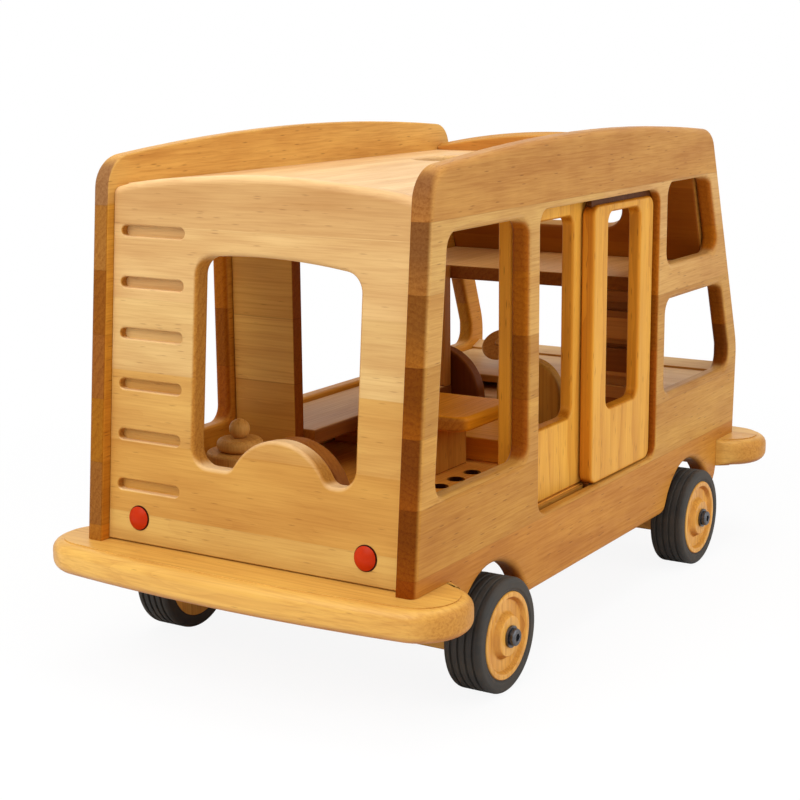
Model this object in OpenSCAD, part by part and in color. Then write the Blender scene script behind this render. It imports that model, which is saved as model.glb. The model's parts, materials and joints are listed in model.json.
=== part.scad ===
// Wooden toy camper van: solid boards, four rubber-tyred wheels, two sliding door leaves
// and a furnished cabin under a bed alcove. The front of the van points along +X.

/* [Overall] */
// Length over both bumpers
overall_l = 640; // [620:1:680]
// Width over the two side panels
body_w = 285; // [275:1:310]
// Height of the crown of the side panels above the ground
crown_z = 388; // [384:1:400]
// Thickness of the side, rear and front boards
panel_t = 15; // [13:0.5:17]

/* [Bumpers] */
// Length of each bumper board across the van
bumper_w = 350; // [340:1:390]
// Depth of each bumper board along the van, in its middle
bumper_d = 79; // [74:1:84]
// How far the outer edge of a bumper bows out over its round ends
bumper_bow = 8; // [4:0.5:12]
// Thickness of the bumper boards
bumper_t = 24; // [20:1:27]
// Height of the underside of the bumpers
bumper_z = 73.5; // [70:0.5:76]
// How far the rear bumper stands behind the side panels
tail_reach = 30.5; // [25:0.5:36]
// How far the front bumper stands before the side panels
nose_reach = 35; // [30:0.5:42]

/* [Floor and roof] */
// Thickness of the floor board
floor_t = 14; // [12:0.5:17]
// Thickness of the roof board
roof_t = 14; // [12:0.5:16]
// Height of the top face of the roof board
roof_z = 357; // [354:1:362]
// Length of the skylight along the van
skylight_l = 75; // [50:1:85]
// Width of the skylight across the van
skylight_w = 165; // [120:1:190]
// Place of the middle of the skylight along the van
skylight_x = 97; // [82:1:112]
// Corner radius of the skylight
skylight_r = 30; // [10:1:34]
// Diameter of the peg holes in the floor
peg_d = 15; // [8:0.5:20]
// Spacing of the peg holes along the van
peg_pitch = 26; // [22:1:34]
// Place of the middle peg hole along the van
peg_x = -47; // [-53:1:-40]
// Distance of the row of peg holes from the middle of the van
peg_y = 34; // [28:1:42]

/* [Side panels] */
// Height of the bottom edge of the side panels
skirt_z = 56; // [52:1:60]
// Lean of the rear edge, in degrees
rear_rake = 6; // [3:0.5:9]
// Lean of the upper front edge, in degrees
front_rake = 20.5; // [18:0.5:22]
// Height at which the front edge starts to lean
knee_z = 182; // [176:1:190]
// Radius of the bend in the front edge
knee_r = 60; // [30:1:70]
// Radius of the crowned top edge
crown_r = 2400; // [1800:10:3000]
// Place of the highest point of the top edge along the van
crown_x = -3; // [-28:1:22]
// Radius of the rear top corner
tail_corner_r = 24; // [14:1:30]
// Radius of the front top corner
nose_corner_r = 20; // [14:1:28]
// Radius of the lower corner in front of the front wheel
skirt_front_r = 20; // [8:1:22]
// Radius of the lower corner behind the rear wheel
skirt_rear_r = 8; // [4:1:10]
// Radius of the wheel arches
arch_r = 51; // [48:0.5:53]
// Rounding of the arch corners that face the door
arch_corner_r = 12; // [6:1:16]

/* [Side windows] */
// Height of the sills of the rear and middle windows
sill_z = 158; // [155:1:164]
// Height of the sills of the cab windows
cab_sill_z = 162; // [158:1:168]
// Height of the top of the rear side windows
window_top_z = 333; // [325:1:337]
// Height of the top of the cab windows
cab_top_z = 242; // [236:1:246]
// Height of the sill of the alcove windows
alcove_sill_z = 272; // [266:1:278]
// Height of the top of the alcove windows
alcove_top_z = 340; // [325:1:342]
// Width of the posts between the side windows
post_w = 19; // [16:0.5:22]
// Width of the post behind the rear side windows
rear_post_w = 23.5; // [18:0.5:26]
// Width of the post in front of the cab windows
cab_post_w = 22; // [18:0.5:26]
// Corner radius of the side windows
window_r = 12; // [6:1:16]

/* [Sliding door] */
// Place of the rear jamb of the door opening along the van
door_x = -112; // [-118:1:-106]
// Width of the door opening
door_w = 212; // [200:1:216]
// Height of the top of the door opening
door_top_z = 337; // [330:1:338]
// Thickness of both door leaves
leaf_t = 11; // [9:0.5:11]
// Width of the front leaf
leaf_w = 112; // [108:1:118]
// How far the face of the front leaf lies inside the face of the side panel
leaf_recess = 4; // [3:0.5:4]
// How far the rear leaf reaches behind the rear jamb and behind the front leaf
leaf_lap = 15; // [10:1:18]
// Running gap between the two leaves, and between a leaf and a jamb's plane
leaf_gap = 1; // [0.6:0.1:2]
// Gap between the front leaf and the front jamb when shut
jamb_gap = 3; // [2:0.5:5]
// Gap above the front leaf
head_gap = 5; // [3:0.5:6]
// Width of the stiles beside the window of a leaf
stile_w = 26; // [20:1:32]
// Height of the sill of the leaf windows
leaf_sill_z = 169; // [160:1:180]
// Height of the top of the leaf windows
leaf_top_z = 325; // [310:1:326]
// Corner radius of the leaves and of their windows
leaf_r = 9; // [4:0.5:9]
// Thickness of the tongues that run in the grooves
tongue_t = 4; // [3:0.5:5]
// How far the tongues end before the edges of a leaf
tongue_in = 1; // [0.5:0.5:4]
// Depth of the door grooves
groove_d = 6; // [4:0.5:8]
// Running clearance of leaf and tongue on each side
run_clear = 0.4; // [0.3:0.05:0.8]

/* [Rear panel] */
// Distance from the rear edge of the side panels to the rear panel
rear_inset = 8.5; // [6.5:0.5:14]
// Lean of the rear panel, in degrees
rear_lean = 5; // [4:0.5:6]
// Gap between the bumper and the rear and front panels
panel_lift = 1; // [0.5:0.5:4]
// Height of the rear panel along its middle
rear_h = 270; // [266:1:280]
// Rise of the arched top over the corners of the rear panel
rear_crown = 14; // [8:1:18]
// Left edge of the rear window, from the middle of the van
rear_window_left = 51; // [44:1:56]
// Right edge of the rear window, from the middle of the van
rear_window_right = 87; // [78:1:95]
// Distance from the bottom edge of the rear panel to the window's sill
rear_sill_h = 63; // [56:1:70]
// Distance from the bottom edge to the top of the window, along the middle
rear_window_h = 214; // [205:1:224]
// Corner radius of the rear window
rear_window_r = 14; // [8:1:16]
// Radius of the rounded hump in the rear window's sill
hump_r = 45; // [38:1:47]
// Distance of the middle of the hump to the right of the van's middle
hump_y = 23.5; // [18:0.5:28]
// Distance from the bottom edge to the centre of the hump
hump_h = 44; // [38:1:48]
// Rounding at the feet of the hump
hump_foot_r = 9; // [4:1:10]
// Number of ladder slots
rungs = 6; // [3:1:6]
// Spacing of the ladder slots
rung_pitch = 37; // [34:0.5:37]
// Distance from the bottom edge to the first ladder slot
rung_h = 42; // [38:1:44]
// Length of a ladder slot
rung_w = 57; // [40:1:58]
// Height of a ladder slot
rung_t = 8; // [5:0.5:10]
// Depth of a ladder slot
rung_d = 6; // [3:0.5:8]
// Distance from the end of a ladder slot to the side panel
rung_margin = 8; // [5:0.5:10]

/* [Lamps] */
// Diameter of the lamp buttons
lamp_d = 17; // [12:0.5:20]
// How far the lamp buttons stand proud
lamp_h = 4; // [2:0.5:6]
// Diameter of the stem of a lamp button
lamp_stem_d = 9; // [6:0.5:10]
// Length of the stem of a lamp button
lamp_stem_l = 8; // [5:0.5:10]
// Distance of the tail lamps from the middle of the van
tail_lamp_y = 98.5; // [90:0.5:104]
// Distance of the tail lamps from the bottom edge of the rear panel
tail_lamp_h = 18.5; // [14:0.5:24]
// Distance of the head lamps from the middle of the van
head_lamp_y = 92; // [80:0.5:104]
// Distance of the head lamps from the bottom edge of the front panel
head_lamp_h = 30; // [20:0.5:40]

/* [Windscreen panel] */
// Lean of the windscreen panel, in degrees
screen_rake = 19; // [17:0.5:20]
// Distance from the front edge of the side panels to the front panel
front_inset = 4; // [3:0.5:8]
// Height of the top edge of the front panel, the sill of the windscreen
screen_z = 163; // [159:1:166]
// Distance from the windscreen's sill to the top of the windscreen panel, along its middle
screen_h = 227; // [222:1:232]
// Rise of the arched top over the corners of the windscreen panel
screen_crown = 14; // [8:1:18]
// Distance from the sill to the head of the windscreen, along the lean
screen_top = 85; // [78:1:90]
// Width of the front window of the alcove
peep_w = 110; // [80:1:140]
// Distance from the windscreen's sill to the sill of the front window of the alcove
peep_sill = 138; // [130:1:146]
// Distance from the windscreen's sill to the top of the front window of the alcove
peep_top = 181; // [170:1:187]
// Corner radius of the front window of the alcove
peep_r = 20; // [8:1:20]

/* [Wheels] */
// Radius of the tyres
wheel_r = 42; // [40:0.5:43]
// Width of the tyres
tyre_w = 30; // [26:0.5:32]
// Radius of the hubs
hub_r = 32; // [28:0.5:34]
// Clearance between tyre and hub
tyre_fit = 0.1; // [0.05:0.05:0.2]
// How far the tyres stand outside the side panels
wheel_reach = 12; // [9:0.5:14]
// Distance of the rear axle from the rear edge of the side panels
rear_axle_in = 108.5; // [105.5:0.5:111.5]
// Distance of the front axle from the front edge of the side panels
front_axle_in = 109; // [107:0.5:113]
// Width of the rim ring of a hub
rim_w = 4; // [3:0.5:5]
// Depth of the dish in the face of a hub
dish_d = 4; // [2:0.5:6]
// Radius of the boss of a hub
boss_r = 15; // [12:0.5:18]
// How far the boss stands proud of the rim
boss_rise = 1.5; // [0:0.5:3]
// Length of the boss on the inner side of a hub
inner_boss = 1.5; // [1:0.5:3]
// Number of grooves in the tread
tread_grooves = 4; // [2:1:5]
// Width and depth of a tread groove
groove_w = 1.6; // [1:0.1:2]
// Rounding of the tyre's shoulders
shoulder_r = 3; // [1:0.5:4]
// Diameter of the wheel bolts
bolt_d = 8; // [6:0.5:10]
// Diameter of the heads of the wheel bolts
bolt_head_d = 12.5; // [11:0.5:14]
// Height of the heads of the wheel bolts
bolt_head_h = 4; // [3:0.5:6]
// Width of the hexagon socket across its corners
socket_d = 6; // [4:0.5:7]
// Length of a wheel bolt inside the axle block
bolt_grip = 30; // [20:1:40]
// Running clearance of the hub on its bolt, on the radius
bolt_fit = 0.05; // [0.03:0.01:0.1]
// Diameter of the washers
washer_d = 16; // [14:0.5:20]
// Thickness of the washers
washer_t = 1.6; // [1:0.2:2.4]
// Gap between a turning hub and what it turns against
spin_gap = 0.3; // [0.2:0.05:0.5]
// Depth of an axle block along the van
block_d = 36; // [30:1:44]
// Height of the underside of the axle blocks
block_z = 29; // [24:1:32]

/* [Furniture] */
// Thickness of the bathroom wall and the ladder board
wall_t = 12; // [10:0.5:12]
// How far the bathroom wall reaches into the van from the left side
wall_w = 59.5; // [50:0.5:66]
// Place of the bathroom wall along the van
wall_x = -124; // [-128:1:-122]
// Thickness of the worktop, the table top and the alcove bed
top_t = 12; // [10:0.5:13]
// Height of the top of the worktop
worktop_z = 154; // [148:1:160]
// Width of the worktop
worktop_w = 69.5; // [62:0.5:72]
// Height of the top of the table
table_z = 167; // [160:1:174]
// Length of the table top along the van
table_l = 85; // [70:1:90]
// Width of the table top
table_w = 90; // [70:1:94]
// Place of the rear edge of the table top along the van
table_x = -69; // [-78:1:-64]
// Distance of the middle of the table to the right of the van's middle
table_y = 9; // [4:1:14]
// Corner radius of the table top
table_r = 14; // [6:1:20]
// Thickness of the table leg
leg_t = 12; // [9:0.5:15]
// How far the table leg stands in from the ends of the table top
leg_inset = 12; // [8:1:18]
// Height of the rear seat and the bench above the floor
seat_h = 20; // [14:1:24]
// Height of the front seats' cushion board above the floor
cab_seat_h = 31; // [26:1:34]
// Thickness of the seat backs
back_t = 14; // [11:0.5:15]
// Radius of the rounded back of the rear seat
rear_back_r = 43; // [36:0.5:46]
// Height of the centre of the rear seat's back
rear_back_z = 141; // [134:1:146]
// Distance of the rear seat to the right of the van's middle
rear_seat_y = 21; // [16:1:28]
// Gap between the rear panel and the top of the rear seat's back
rear_seat_gap = 4; // [1:0.5:9]
// Depth of the rear seat's cushion board
rear_seat_d = 46; // [36:1:48]
// Radius of the rounded back of the driver's seat
driver_r = 46; // [40:0.5:47]
// Radius of the rounded back of the passenger's seat
passenger_r = 31; // [28:0.5:33]
// Height of the top of the driver's seat back
driver_top = 187; // [180:1:190]
// Height of the top of the passenger's seat back
passenger_top = 183; // [176:1:190]
// Distance of the front seats' backs from the rear edge of the alcove bed
front_seat_in = 5; // [2:0.5:8]
// Distance of the driver's seat to the left of the van's middle
driver_y = 79; // [77:0.5:80]
// Distance of the passenger's seat to the right of the van's middle
passenger_y = 16; // [14:0.5:20]
// Depth of the driver's and passenger's cushion board
cab_seat_d = 60; // [40:1:70]
// Place of the rear face of the dinette bench along the van
bench_x = 14; // [12:1:22]
// Depth of the dinette bench
bench_d = 75; // [64:1:77]
// Place of the ladder board along the van
ladder_x = 104; // [103.5:0.5:106]
// Width of the ladder board
ladder_w = 73; // [64:1:74]
// Spacing of the slots in the ladder board
ladder_pitch = 32; // [28:1:34]
// Height of the first slot in the ladder board above the floor
ladder_h = 29; // [22:1:34]
// Height of the top of the alcove bed
bed_z = 262; // [258:1:266]
// Height of the top of the dashboard
dash_z = 156; // [152:1:157]
// Depth of the dashboard along the van
dash_d = 115; // [108:1:118]
// Thickness of the dashboard
dash_t = 7; // [7:0.5:8]
// Distance of the foot of the steering column from the front panel
column_in = 48; // [42:1:56]
// Distance of the steering column to the left of the van's middle
column_y = 61; // [54:1:80]
// Lean of the steering column, in degrees
column_rake = 40; // [30:1:50]
// Diameter of the steering column
column_d = 8; // [6:0.5:10]
// Length of the steering column above the dashboard
column_l = 30; // [24:0.5:32]
// Depth of the steering column in the dashboard
column_seat = 5; // [3:0.5:5]
// Diameter of the steering wheel
steering_d = 36; // [28:1:38]
// Thickness of the steering wheel
steering_t = 6; // [4:0.5:8]
// How far the column stands out of the steering wheel
column_tip = 2; // [1:0.5:3]

/* [Toilet] */
// Distance of the middle of the toilet from the bathroom wall
toilet_in = 57; // [44:1:64]
// Distance of the toilet to the left of the van's middle
toilet_y = 80; // [70:1:90]
// Radius of the toilet bowl
bowl_r = 26; // [20:0.5:30]
// Height of the toilet bowl
bowl_h = 38; // [28:1:44]
// Radius of the toilet lid
lid_r = 18; // [14:0.5:20]
// Thickness of the toilet lid
lid_t = 10; // [7:0.5:12]
// Radius of the knob on the lid
knob_r = 8; // [5:0.5:9]
// Depth of the flat under the knob
knob_flat = 1; // [0.5:0.25:2]

/* [Screws] */
// Diameter of the wood screws
screw_d = 4.5; // [3:0.25:5]
// Diameter of the heads of the wood screws
screw_head_d = 9; // [7:0.5:10]
// Height of the heads of the wood screws
screw_head_h = 3; // [2:0.25:4]
// How far the bumper screws bite into the floor
bumper_bite = 10; // [6:0.5:12]
// How far the axle block screws bite into the blocks
block_bite = 30; // [15:1:35]
// Clearance round the screws, on the radius
screw_fit = 0.15; // [0.1:0.05:0.3]
// Distance of the bumper screws from the middle of the van
bumper_screw_y = 90; // [70:1:110]
// Distance of the axle block screws from the middle of the van
block_screw_y = 40; // [30:1:50]

/* [Hidden] */
$fn = 96;
fine = 720;
sink = 1;
arc_lap = 0.005;
half_l = overall_l / 2;
half_w = body_w / 2;
half_in = half_w - panel_t;
deck_z = bumper_z + bumper_t;
floor_z = deck_z + floor_t;
roof_under = roof_z - roof_t;
tail_x = -half_l + tail_reach;
nose_x = half_l - nose_reach;
bumper_end_r = (bumper_d - bumper_bow) / 2;
skirt_rear_x = -half_l + bumper_d;
skirt_front_x = half_l - bumper_d;
door_front_x = door_x + door_w;
cab_x = door_front_x + post_w;
// Rear and front boards: faces where they meet the floor and the roof
rear_x = tail_x + rear_inset;
rear_z = deck_z + panel_lift;
front_x = nose_x - front_inset;
front_in_x = front_x - panel_t;
// Front leaf when shut, and the rear leaf behind it
front_leaf_x = door_front_x - jamb_gap - leaf_w;
rear_leaf_x = door_x - leaf_lap;
rear_leaf_w = front_leaf_x + leaf_lap - rear_leaf_x;
front_leaf_y = -half_w + leaf_recess;
rear_leaf_y = -half_in + leaf_gap;
leaf_z = floor_z + run_clear;
front_leaf_h = door_top_z - head_gap - leaf_z;
rear_leaf_h = roof_under - run_clear - leaf_z;
// Wheels
rear_axle_x = tail_x + rear_axle_in;
front_axle_x = nose_x - front_axle_in;
wheel_out = half_w + wheel_reach;
wheel_in = wheel_out - tyre_w;
bore_r = bolt_d / 2 + bolt_fit;
block_end = wheel_in - inner_boss - spin_gap;
face_h = tyre_w + boss_rise;
washer_h = face_h + spin_gap;
head_h = washer_h + washer_t;
axles = [rear_axle_x, front_axle_x];
sides = [-1, 1];
// Fasteners
screw_r = screw_d / 2 + screw_fit;
screw_head_r = screw_head_d / 2 + screw_fit;
bumper_screw_xs = [(skirt_rear_x + rear_in(deck_z)) / 2, (skirt_front_x + front_in_x) / 2];
block_screw_l = floor_t - screw_head_h + block_bite;
bumper_screw_l = bumper_t - screw_head_h + bumper_bite;
// Furniture
wall_front_x = wall_x + wall_t;
toilet_x = wall_x - toilet_in;
rear_seat_x = rear_in(rear_back_z + rear_back_r) + rear_seat_gap;
dash_x = front_in_x - dash_d;
column_x = front_in_x - column_in;
bed_under = bed_z - top_t;
front_seat_x = ladder_x + front_seat_in;
seats_right = -passenger_y - passenger_r;
seats_w = driver_y + driver_r - seats_right;
ladder_slot_w = ladder_w - 2 * rung_margin - rung_t;
ladder_slots = floor((bed_under - floor_z - ladder_h) / ladder_pitch) + 1;
wheel_lift = column_l - column_tip - steering_t;

beech = "#c8843c";
alder = "#d9a866";
maple = "#e6c48c";
walnut = "#a56a34";
rubber = "#2c2826";
steel = "#4a4a4c";
red = "#c8401c";

// Lean of the panels: place of an edge or face at height z
function tail_at(z) = tail_x + (z - deck_z) * tan(rear_rake);
function nose_at(z) = z < knee_z ? nose_x : nose_x - (z - knee_z) * tan(front_rake);
function rear_in(z) = rear_x + panel_t / cos(rear_lean) + (z - rear_z) * tan(rear_lean);
function screen_in(z) = front_x - panel_t / cos(screen_rake) - (z - screen_z) * tan(screen_rake);
function unit(v) = v / norm(v);
// Radius of an arc that rises by rise over a chord of twice half
function arch_radius(half, rise) = (half * half + rise * rise) / (2 * rise);

// Two tangent points and the centre of a rounding of radius r at corner b
function rounding(a, b, c, r) =
    let (u = unit(a - b), w = unit(c - b), open = acos(u * w) / 2)
    [b + u * r / tan(open), b + w * r / tan(open), b + unit(u + w) * r / sin(open)];

// A rounding between a straight edge through p along d and the crowned top edge
function crown_rounding(p, d, inward, r) =
    let (o = [crown_x, crown_z - crown_r],
        q = p + inward * r - o,
        along = -(q * d) + sqrt((q * d) * (q * d) - q * q + (crown_r - r) * (crown_r - r)),
        c = p + inward * r + d * along)
    [p + d * along, o + unit(c - o) * crown_r, c];

// Convex outline with every corner rounded
module rounded(points, r) {
    n = len(points);
    ends = [for (i = [0:n - 1]) rounding(points[(i + n - 1) % n], points[i], points[(i + 1) % n], r)];
    polygon([for (e = ends) each [e[0], e[1]]]);
    for (e = ends)
        translate(e[2])
            circle(r);
}

module rounded_box(x0, y0, x1, y1, r) {
    rounded([[x0, y0], [x1, y0], [x1, y1], [x0, y1]], r);
}

// Slot with round ends, from the middle of its left end
module slot(w, h) {
    translate([0, -h / 2])
        square([w, h]);
    for (x = [0, w])
        translate([x, 0])
            circle(h / 2);
}

// What a rounding of radius r takes off the corner between a circle and a level edge at height z
module corner_web(c, r_circle, z, r, side) {
    apart = r_circle + r - arc_lap;
    x = c[0] + side * sqrt(apart * apart - (z + r - c[1]) * (z + r - c[1]));
    edge = c[0] + side * sqrt(r_circle * r_circle - (z - c[1]) * (z - c[1]));
    touch = c + unit([x, z + r] - c) * (r_circle - arc_lap / 2);
    back = c + unit([edge, z] - c) * (r_circle - sink);
    difference() {
        polygon([touch, [x, z], [x, z - sink], back]);
        translate([x, z + r])
            circle(r);
    }
}

// Board with its outline in X and Z, from y to y + t
module upright(y, t) {
    translate([0, y + t, 0])
        rotate([90, 0, 0])
            linear_extrude(t)
                children();
}

// Board with its outline in Y and Z, from x to x + t
module crosswise(x, t) {
    translate([x, 0, 0])
        rotate([90, 0, 90])
            linear_extrude(t)
                children();
}

// Level board with its outline in X and Y, from z to z + t
module level(z, t) {
    translate([0, 0, z])
        linear_extrude(t)
            children();
}

// Side panels
module side_blank() {
    lean = [sin(rear_rake), cos(rear_rake)];
    slope = [-sin(front_rake), cos(front_rake)];
    tail = crown_rounding([tail_x, deck_z], lean, [lean[1], -lean[0]], tail_corner_r);
    nose = crown_rounding([nose_x, knee_z], slope, [-slope[1], slope[0]], nose_corner_r);
    knee = rounding([nose_x, deck_z], [nose_x, knee_z], [nose_x, knee_z] + slope, knee_r);
    intersection() {
        translate([crown_x, crown_z - crown_r])
            circle(crown_r, $fn = fine);
        polygon([[skirt_rear_x, skirt_z + skirt_rear_r], [skirt_rear_x + skirt_rear_r, skirt_z],
            [skirt_front_x - skirt_front_r, skirt_z], [skirt_front_x, skirt_z + skirt_front_r],
            [skirt_front_x, deck_z], [nose_x, deck_z], knee[0], knee[1], nose[0], nose[1],
            [nose[1][0], crown_z + sink], [tail[1][0], crown_z + sink], tail[1], tail[0],
            [tail_x, deck_z], [skirt_rear_x, deck_z]]);
    }
    translate([skirt_rear_x + skirt_rear_r, skirt_z + skirt_rear_r])
        circle(skirt_rear_r);
    translate([skirt_front_x - skirt_front_r, skirt_z + skirt_front_r])
        circle(skirt_front_r);
    translate(knee[2])
        circle(knee_r);
    translate(tail[2])
        circle(tail_corner_r);
    translate(nose[2])
        circle(nose_corner_r);
}

// Wheel arch, rounded where it meets the skirt on the side of the door
module wheel_arch(x, side) {
    c = [x, wheel_r];
    translate(c)
        circle(arch_r);
    corner_web(c, arch_r, skirt_z, arch_corner_r, side);
}

module side_windows(middle_sill_z, middle_top_z) {
    rounded([[tail_at(sill_z) + rear_post_w, sill_z], [door_x - post_w, sill_z],
        [door_x - post_w, window_top_z], [tail_at(window_top_z) + rear_post_w, window_top_z]], window_r);
    rounded_box(door_x, middle_sill_z, door_front_x, middle_top_z, window_r);
    rounded([[cab_x, alcove_sill_z], [nose_at(alcove_sill_z) - post_w, alcove_sill_z],
        [nose_at(alcove_top_z) - post_w, alcove_top_z], [cab_x, alcove_top_z]], window_r);
    rounded([[cab_x, cab_sill_z], [nose_x - cab_post_w, cab_sill_z], [nose_x - cab_post_w, knee_z],
        [nose_at(cab_top_z) - cab_post_w, cab_top_z], [cab_x, cab_top_z]], window_r);
}

module side_outline(middle_sill_z, middle_top_z) {
    difference() {
        side_blank();
        side_windows(middle_sill_z, middle_top_z);
        wheel_arch(rear_axle_x, 1);
        wheel_arch(front_axle_x, -1);
    }
}

module side_panel_left() {
    color(alder)
        upright(half_in, panel_t)
            side_outline(sill_z, window_top_z);
}

// The door opening's sill and head carry the groove of the front leaf
module side_panel_right() {
    groove = tongue_t + 2 * run_clear;
    color(alder)
        difference() {
            upright(-half_w, panel_t)
                side_outline(floor_z, door_top_z);
            translate([door_x, front_leaf_y + (leaf_t - groove) / 2, floor_z - groove_d])
                cube([door_w, groove, door_top_z - floor_z + 2 * groove_d]);
        }
}

// Sliding leaf: a framed board with a tongue below and above
module leaf(x, y, w, h, tongue_top) {
    tongue_low = groove_d - run_clear + leaf_z - floor_z;
    difference() {
        upright(y, leaf_t)
            rounded_box(x, leaf_z, x + w, leaf_z + h, leaf_r);
        upright(y - sink, leaf_t + 2 * sink)
            rounded_box(x + stile_w, leaf_sill_z, x + w - stile_w, leaf_top_z, leaf_r);
    }
    for (end = [[leaf_z - tongue_low, tongue_low + sink], [leaf_z + h - sink, tongue_top + sink]])
        translate([x + tongue_in, y + (leaf_t - tongue_t) / 2, end[0]])
            cube([w - 2 * tongue_in, tongue_t, end[1]]);
}

module front_door_leaf() {
    color(beech)
        leaf(front_leaf_x, front_leaf_y, leaf_w, front_leaf_h, head_gap + groove_d - run_clear);
}

module rear_door_leaf() {
    color(beech)
        leaf(rear_leaf_x, rear_leaf_y, rear_leaf_w, rear_leaf_h, groove_d);
}

// Groove of the rear leaf, cut into the floor below and the roof above
module rear_leaf_groove() {
    groove = tongue_t + 2 * run_clear;
    translate([rear_leaf_x, rear_leaf_y + (leaf_t - groove) / 2, floor_z - groove_d])
        cube([ladder_x - rear_leaf_x, groove, roof_under - floor_z + 2 * groove_d]);
}

// Rear panel, drawn flat and then leaned forward
module rear_frame() {
    translate([rear_x, 0, rear_z])
        rotate([0, rear_lean, 0])
            children();
}

// Outline of the rear window, with a head that runs beside the arched top of the panel
module rear_light() {
    r = rear_window_r;
    head_r = arch_radius(half_in, rear_crown) - rear_h + rear_window_h;
    o = [0, rear_window_h - head_r];
    ends = [rear_window_left - r, r - rear_window_right];
    tops = [for (y = ends) o + [y, sqrt((head_r - r) * (head_r - r) - y * y)]];
    touch = [for (c = tops) o + unit(c - o) * head_r];
    intersection() {
        translate(o)
            circle(head_r, $fn = fine);
        polygon([[ends[1], rear_sill_h], [ends[0], rear_sill_h], [rear_window_left, rear_sill_h + r],
            [rear_window_left, tops[0][1]], touch[0], [touch[0][0], rear_h], [touch[1][0], rear_h],
            touch[1], [-rear_window_right, tops[1][1]], [-rear_window_right, rear_sill_h + r]]);
    }
    for (c = [each tops, for (y = ends) [y, rear_sill_h + r]])
        translate(c)
            circle(r);
}

module rear_window() {
    c = [-hump_y, hump_h];
    difference() {
        rear_light();
        translate(c)
            circle(hump_r);
        for (side = sides)
            corner_web(c, hump_r, rear_sill_h, hump_foot_r, side);
    }
}

// Board with an arched top of height h over its foot line, and a foot that reaches below that line
module arched(half, h, rise, foot) {
    r = arch_radius(half, rise);
    intersection() {
        translate([-half, -foot])
            square([2 * half, h + foot]);
        translate([0, h - r])
            circle(r, $fn = fine);
    }
}

// The foot of the leaning panel is cut level, above the bumper
module rear_panel() {
    color(maple)
        difference() {
            rear_frame()
                difference() {
                    crosswise(0, panel_t)
                        difference() {
                            arched(half_in, rear_h, rear_crown, panel_t);
                            rear_window();
                        }
                    for (i = [0:rungs - 1])
                        crosswise(-sink, rung_d + sink)
                            translate([half_in - rung_margin - rung_w + rung_t / 2, rung_h + i * rung_pitch])
                                slot(rung_w - rung_t, rung_t);
                    for (side = sides)
                        translate([-sink, side * tail_lamp_y, tail_lamp_h])
                            rotate([0, 90, 0])
                                cylinder(h = lamp_stem_l + 2 * sink, d = lamp_stem_d + 2 * screw_fit);
                }
            translate([tail_x, -half_in - sink, rear_z - bumper_t])
                cube([bumper_d, 2 * (half_in + sink), bumper_t]);
        }
}

// Lamp: a domed button on a stem, with the dome along +Z
module lamp(shade) {
    r = arch_radius(lamp_d / 2, lamp_h);
    color(shade) {
        rotate_extrude()
            intersection() {
                square([lamp_d / 2, lamp_h]);
                translate([0, lamp_h - r])
                    circle(r);
            }
        translate([0, 0, -lamp_stem_l])
            cylinder(h = lamp_stem_l + sink, d = lamp_stem_d);
    }
}

module tail_lamp(side) {
    rear_frame()
        translate([0, side * tail_lamp_y, tail_lamp_h])
            rotate([0, -90, 0])
                lamp(red);
}

module head_lamp(side) {
    translate([front_x, side * head_lamp_y, rear_z + head_lamp_h])
        rotate([0, 90, 0])
            lamp(maple);
}

module tail_lamp_left() {
    tail_lamp(1);
}

module tail_lamp_right() {
    tail_lamp(-1);
}

module head_lamp_left() {
    head_lamp(1);
}

module head_lamp_right() {
    head_lamp(-1);
}

// Front panel below the windscreen, with its top edge sloped like the windscreen's lean
module front_panel() {
    color(maple)
        difference() {
            upright(-half_in, 2 * half_in)
                polygon([[front_in_x, rear_z], [front_x, rear_z], [front_x, screen_z],
                    [front_in_x, screen_z - panel_t * tan(screen_rake)]]);
            for (side = sides)
                translate([front_x - lamp_stem_l - sink, side * head_lamp_y, rear_z + head_lamp_h])
                    rotate([0, 90, 0])
                        cylinder(h = lamp_stem_l + 2 * sink, d = lamp_stem_d + 2 * screw_fit);
        }
}

// Leaning board over the windscreen, between the side panels
module windscreen_panel() {
    color(maple)
        translate([front_x, 0, screen_z])
            rotate([0, -screen_rake, 0])
                crosswise(-panel_t, panel_t)
                    difference() {
                        arched(half_in, screen_h, screen_crown, 0);
                        translate([-half_in - sink, -sink])
                            square([2 * (half_in + sink), screen_top + sink]);
                        rounded_box(-peep_w / 2, peep_sill, peep_w / 2, peep_top, peep_r);
                    }
}

module roof_panel() {
    color(maple)
        difference() {
            upright(-half_in, 2 * half_in)
                polygon([[rear_in(roof_under), roof_under], [screen_in(roof_under), roof_under],
                    [screen_in(roof_z), roof_z], [rear_in(roof_z), roof_z]]);
            level(roof_under - sink, roof_t + 2 * sink)
                rounded_box(skylight_x - skylight_l / 2, -skylight_w / 2,
                    skylight_x + skylight_l / 2, skylight_w / 2, skylight_r);
            rear_leaf_groove();
        }
}

module floor_panel() {
    color(alder)
        difference() {
            upright(-half_in, 2 * half_in)
                polygon([[rear_in(deck_z), deck_z], [front_in_x, deck_z],
                    [front_in_x, floor_z], [rear_in(floor_z), floor_z]]);
            for (i = [-1:1])
                translate([peg_x + i * peg_pitch, -peg_y, deck_z - sink])
                    cylinder(h = floor_t + 2 * sink, d = peg_d);
            rear_leaf_groove();
            for (x = bumper_screw_xs, side = sides)
                translate([x, side * bumper_screw_y, deck_z - sink])
                    cylinder(h = bumper_bite + sink + screw_fit, r = screw_r);
            for (x = axles, side = sides)
                translate([x, side * block_screw_y, deck_z - sink]) {
                    cylinder(h = floor_t + 2 * sink, r = screw_r);
                    translate([0, 0, floor_t + sink - screw_head_h])
                        cylinder(h = screw_head_h + sink, r = screw_head_r);
                }
        }
}

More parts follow.
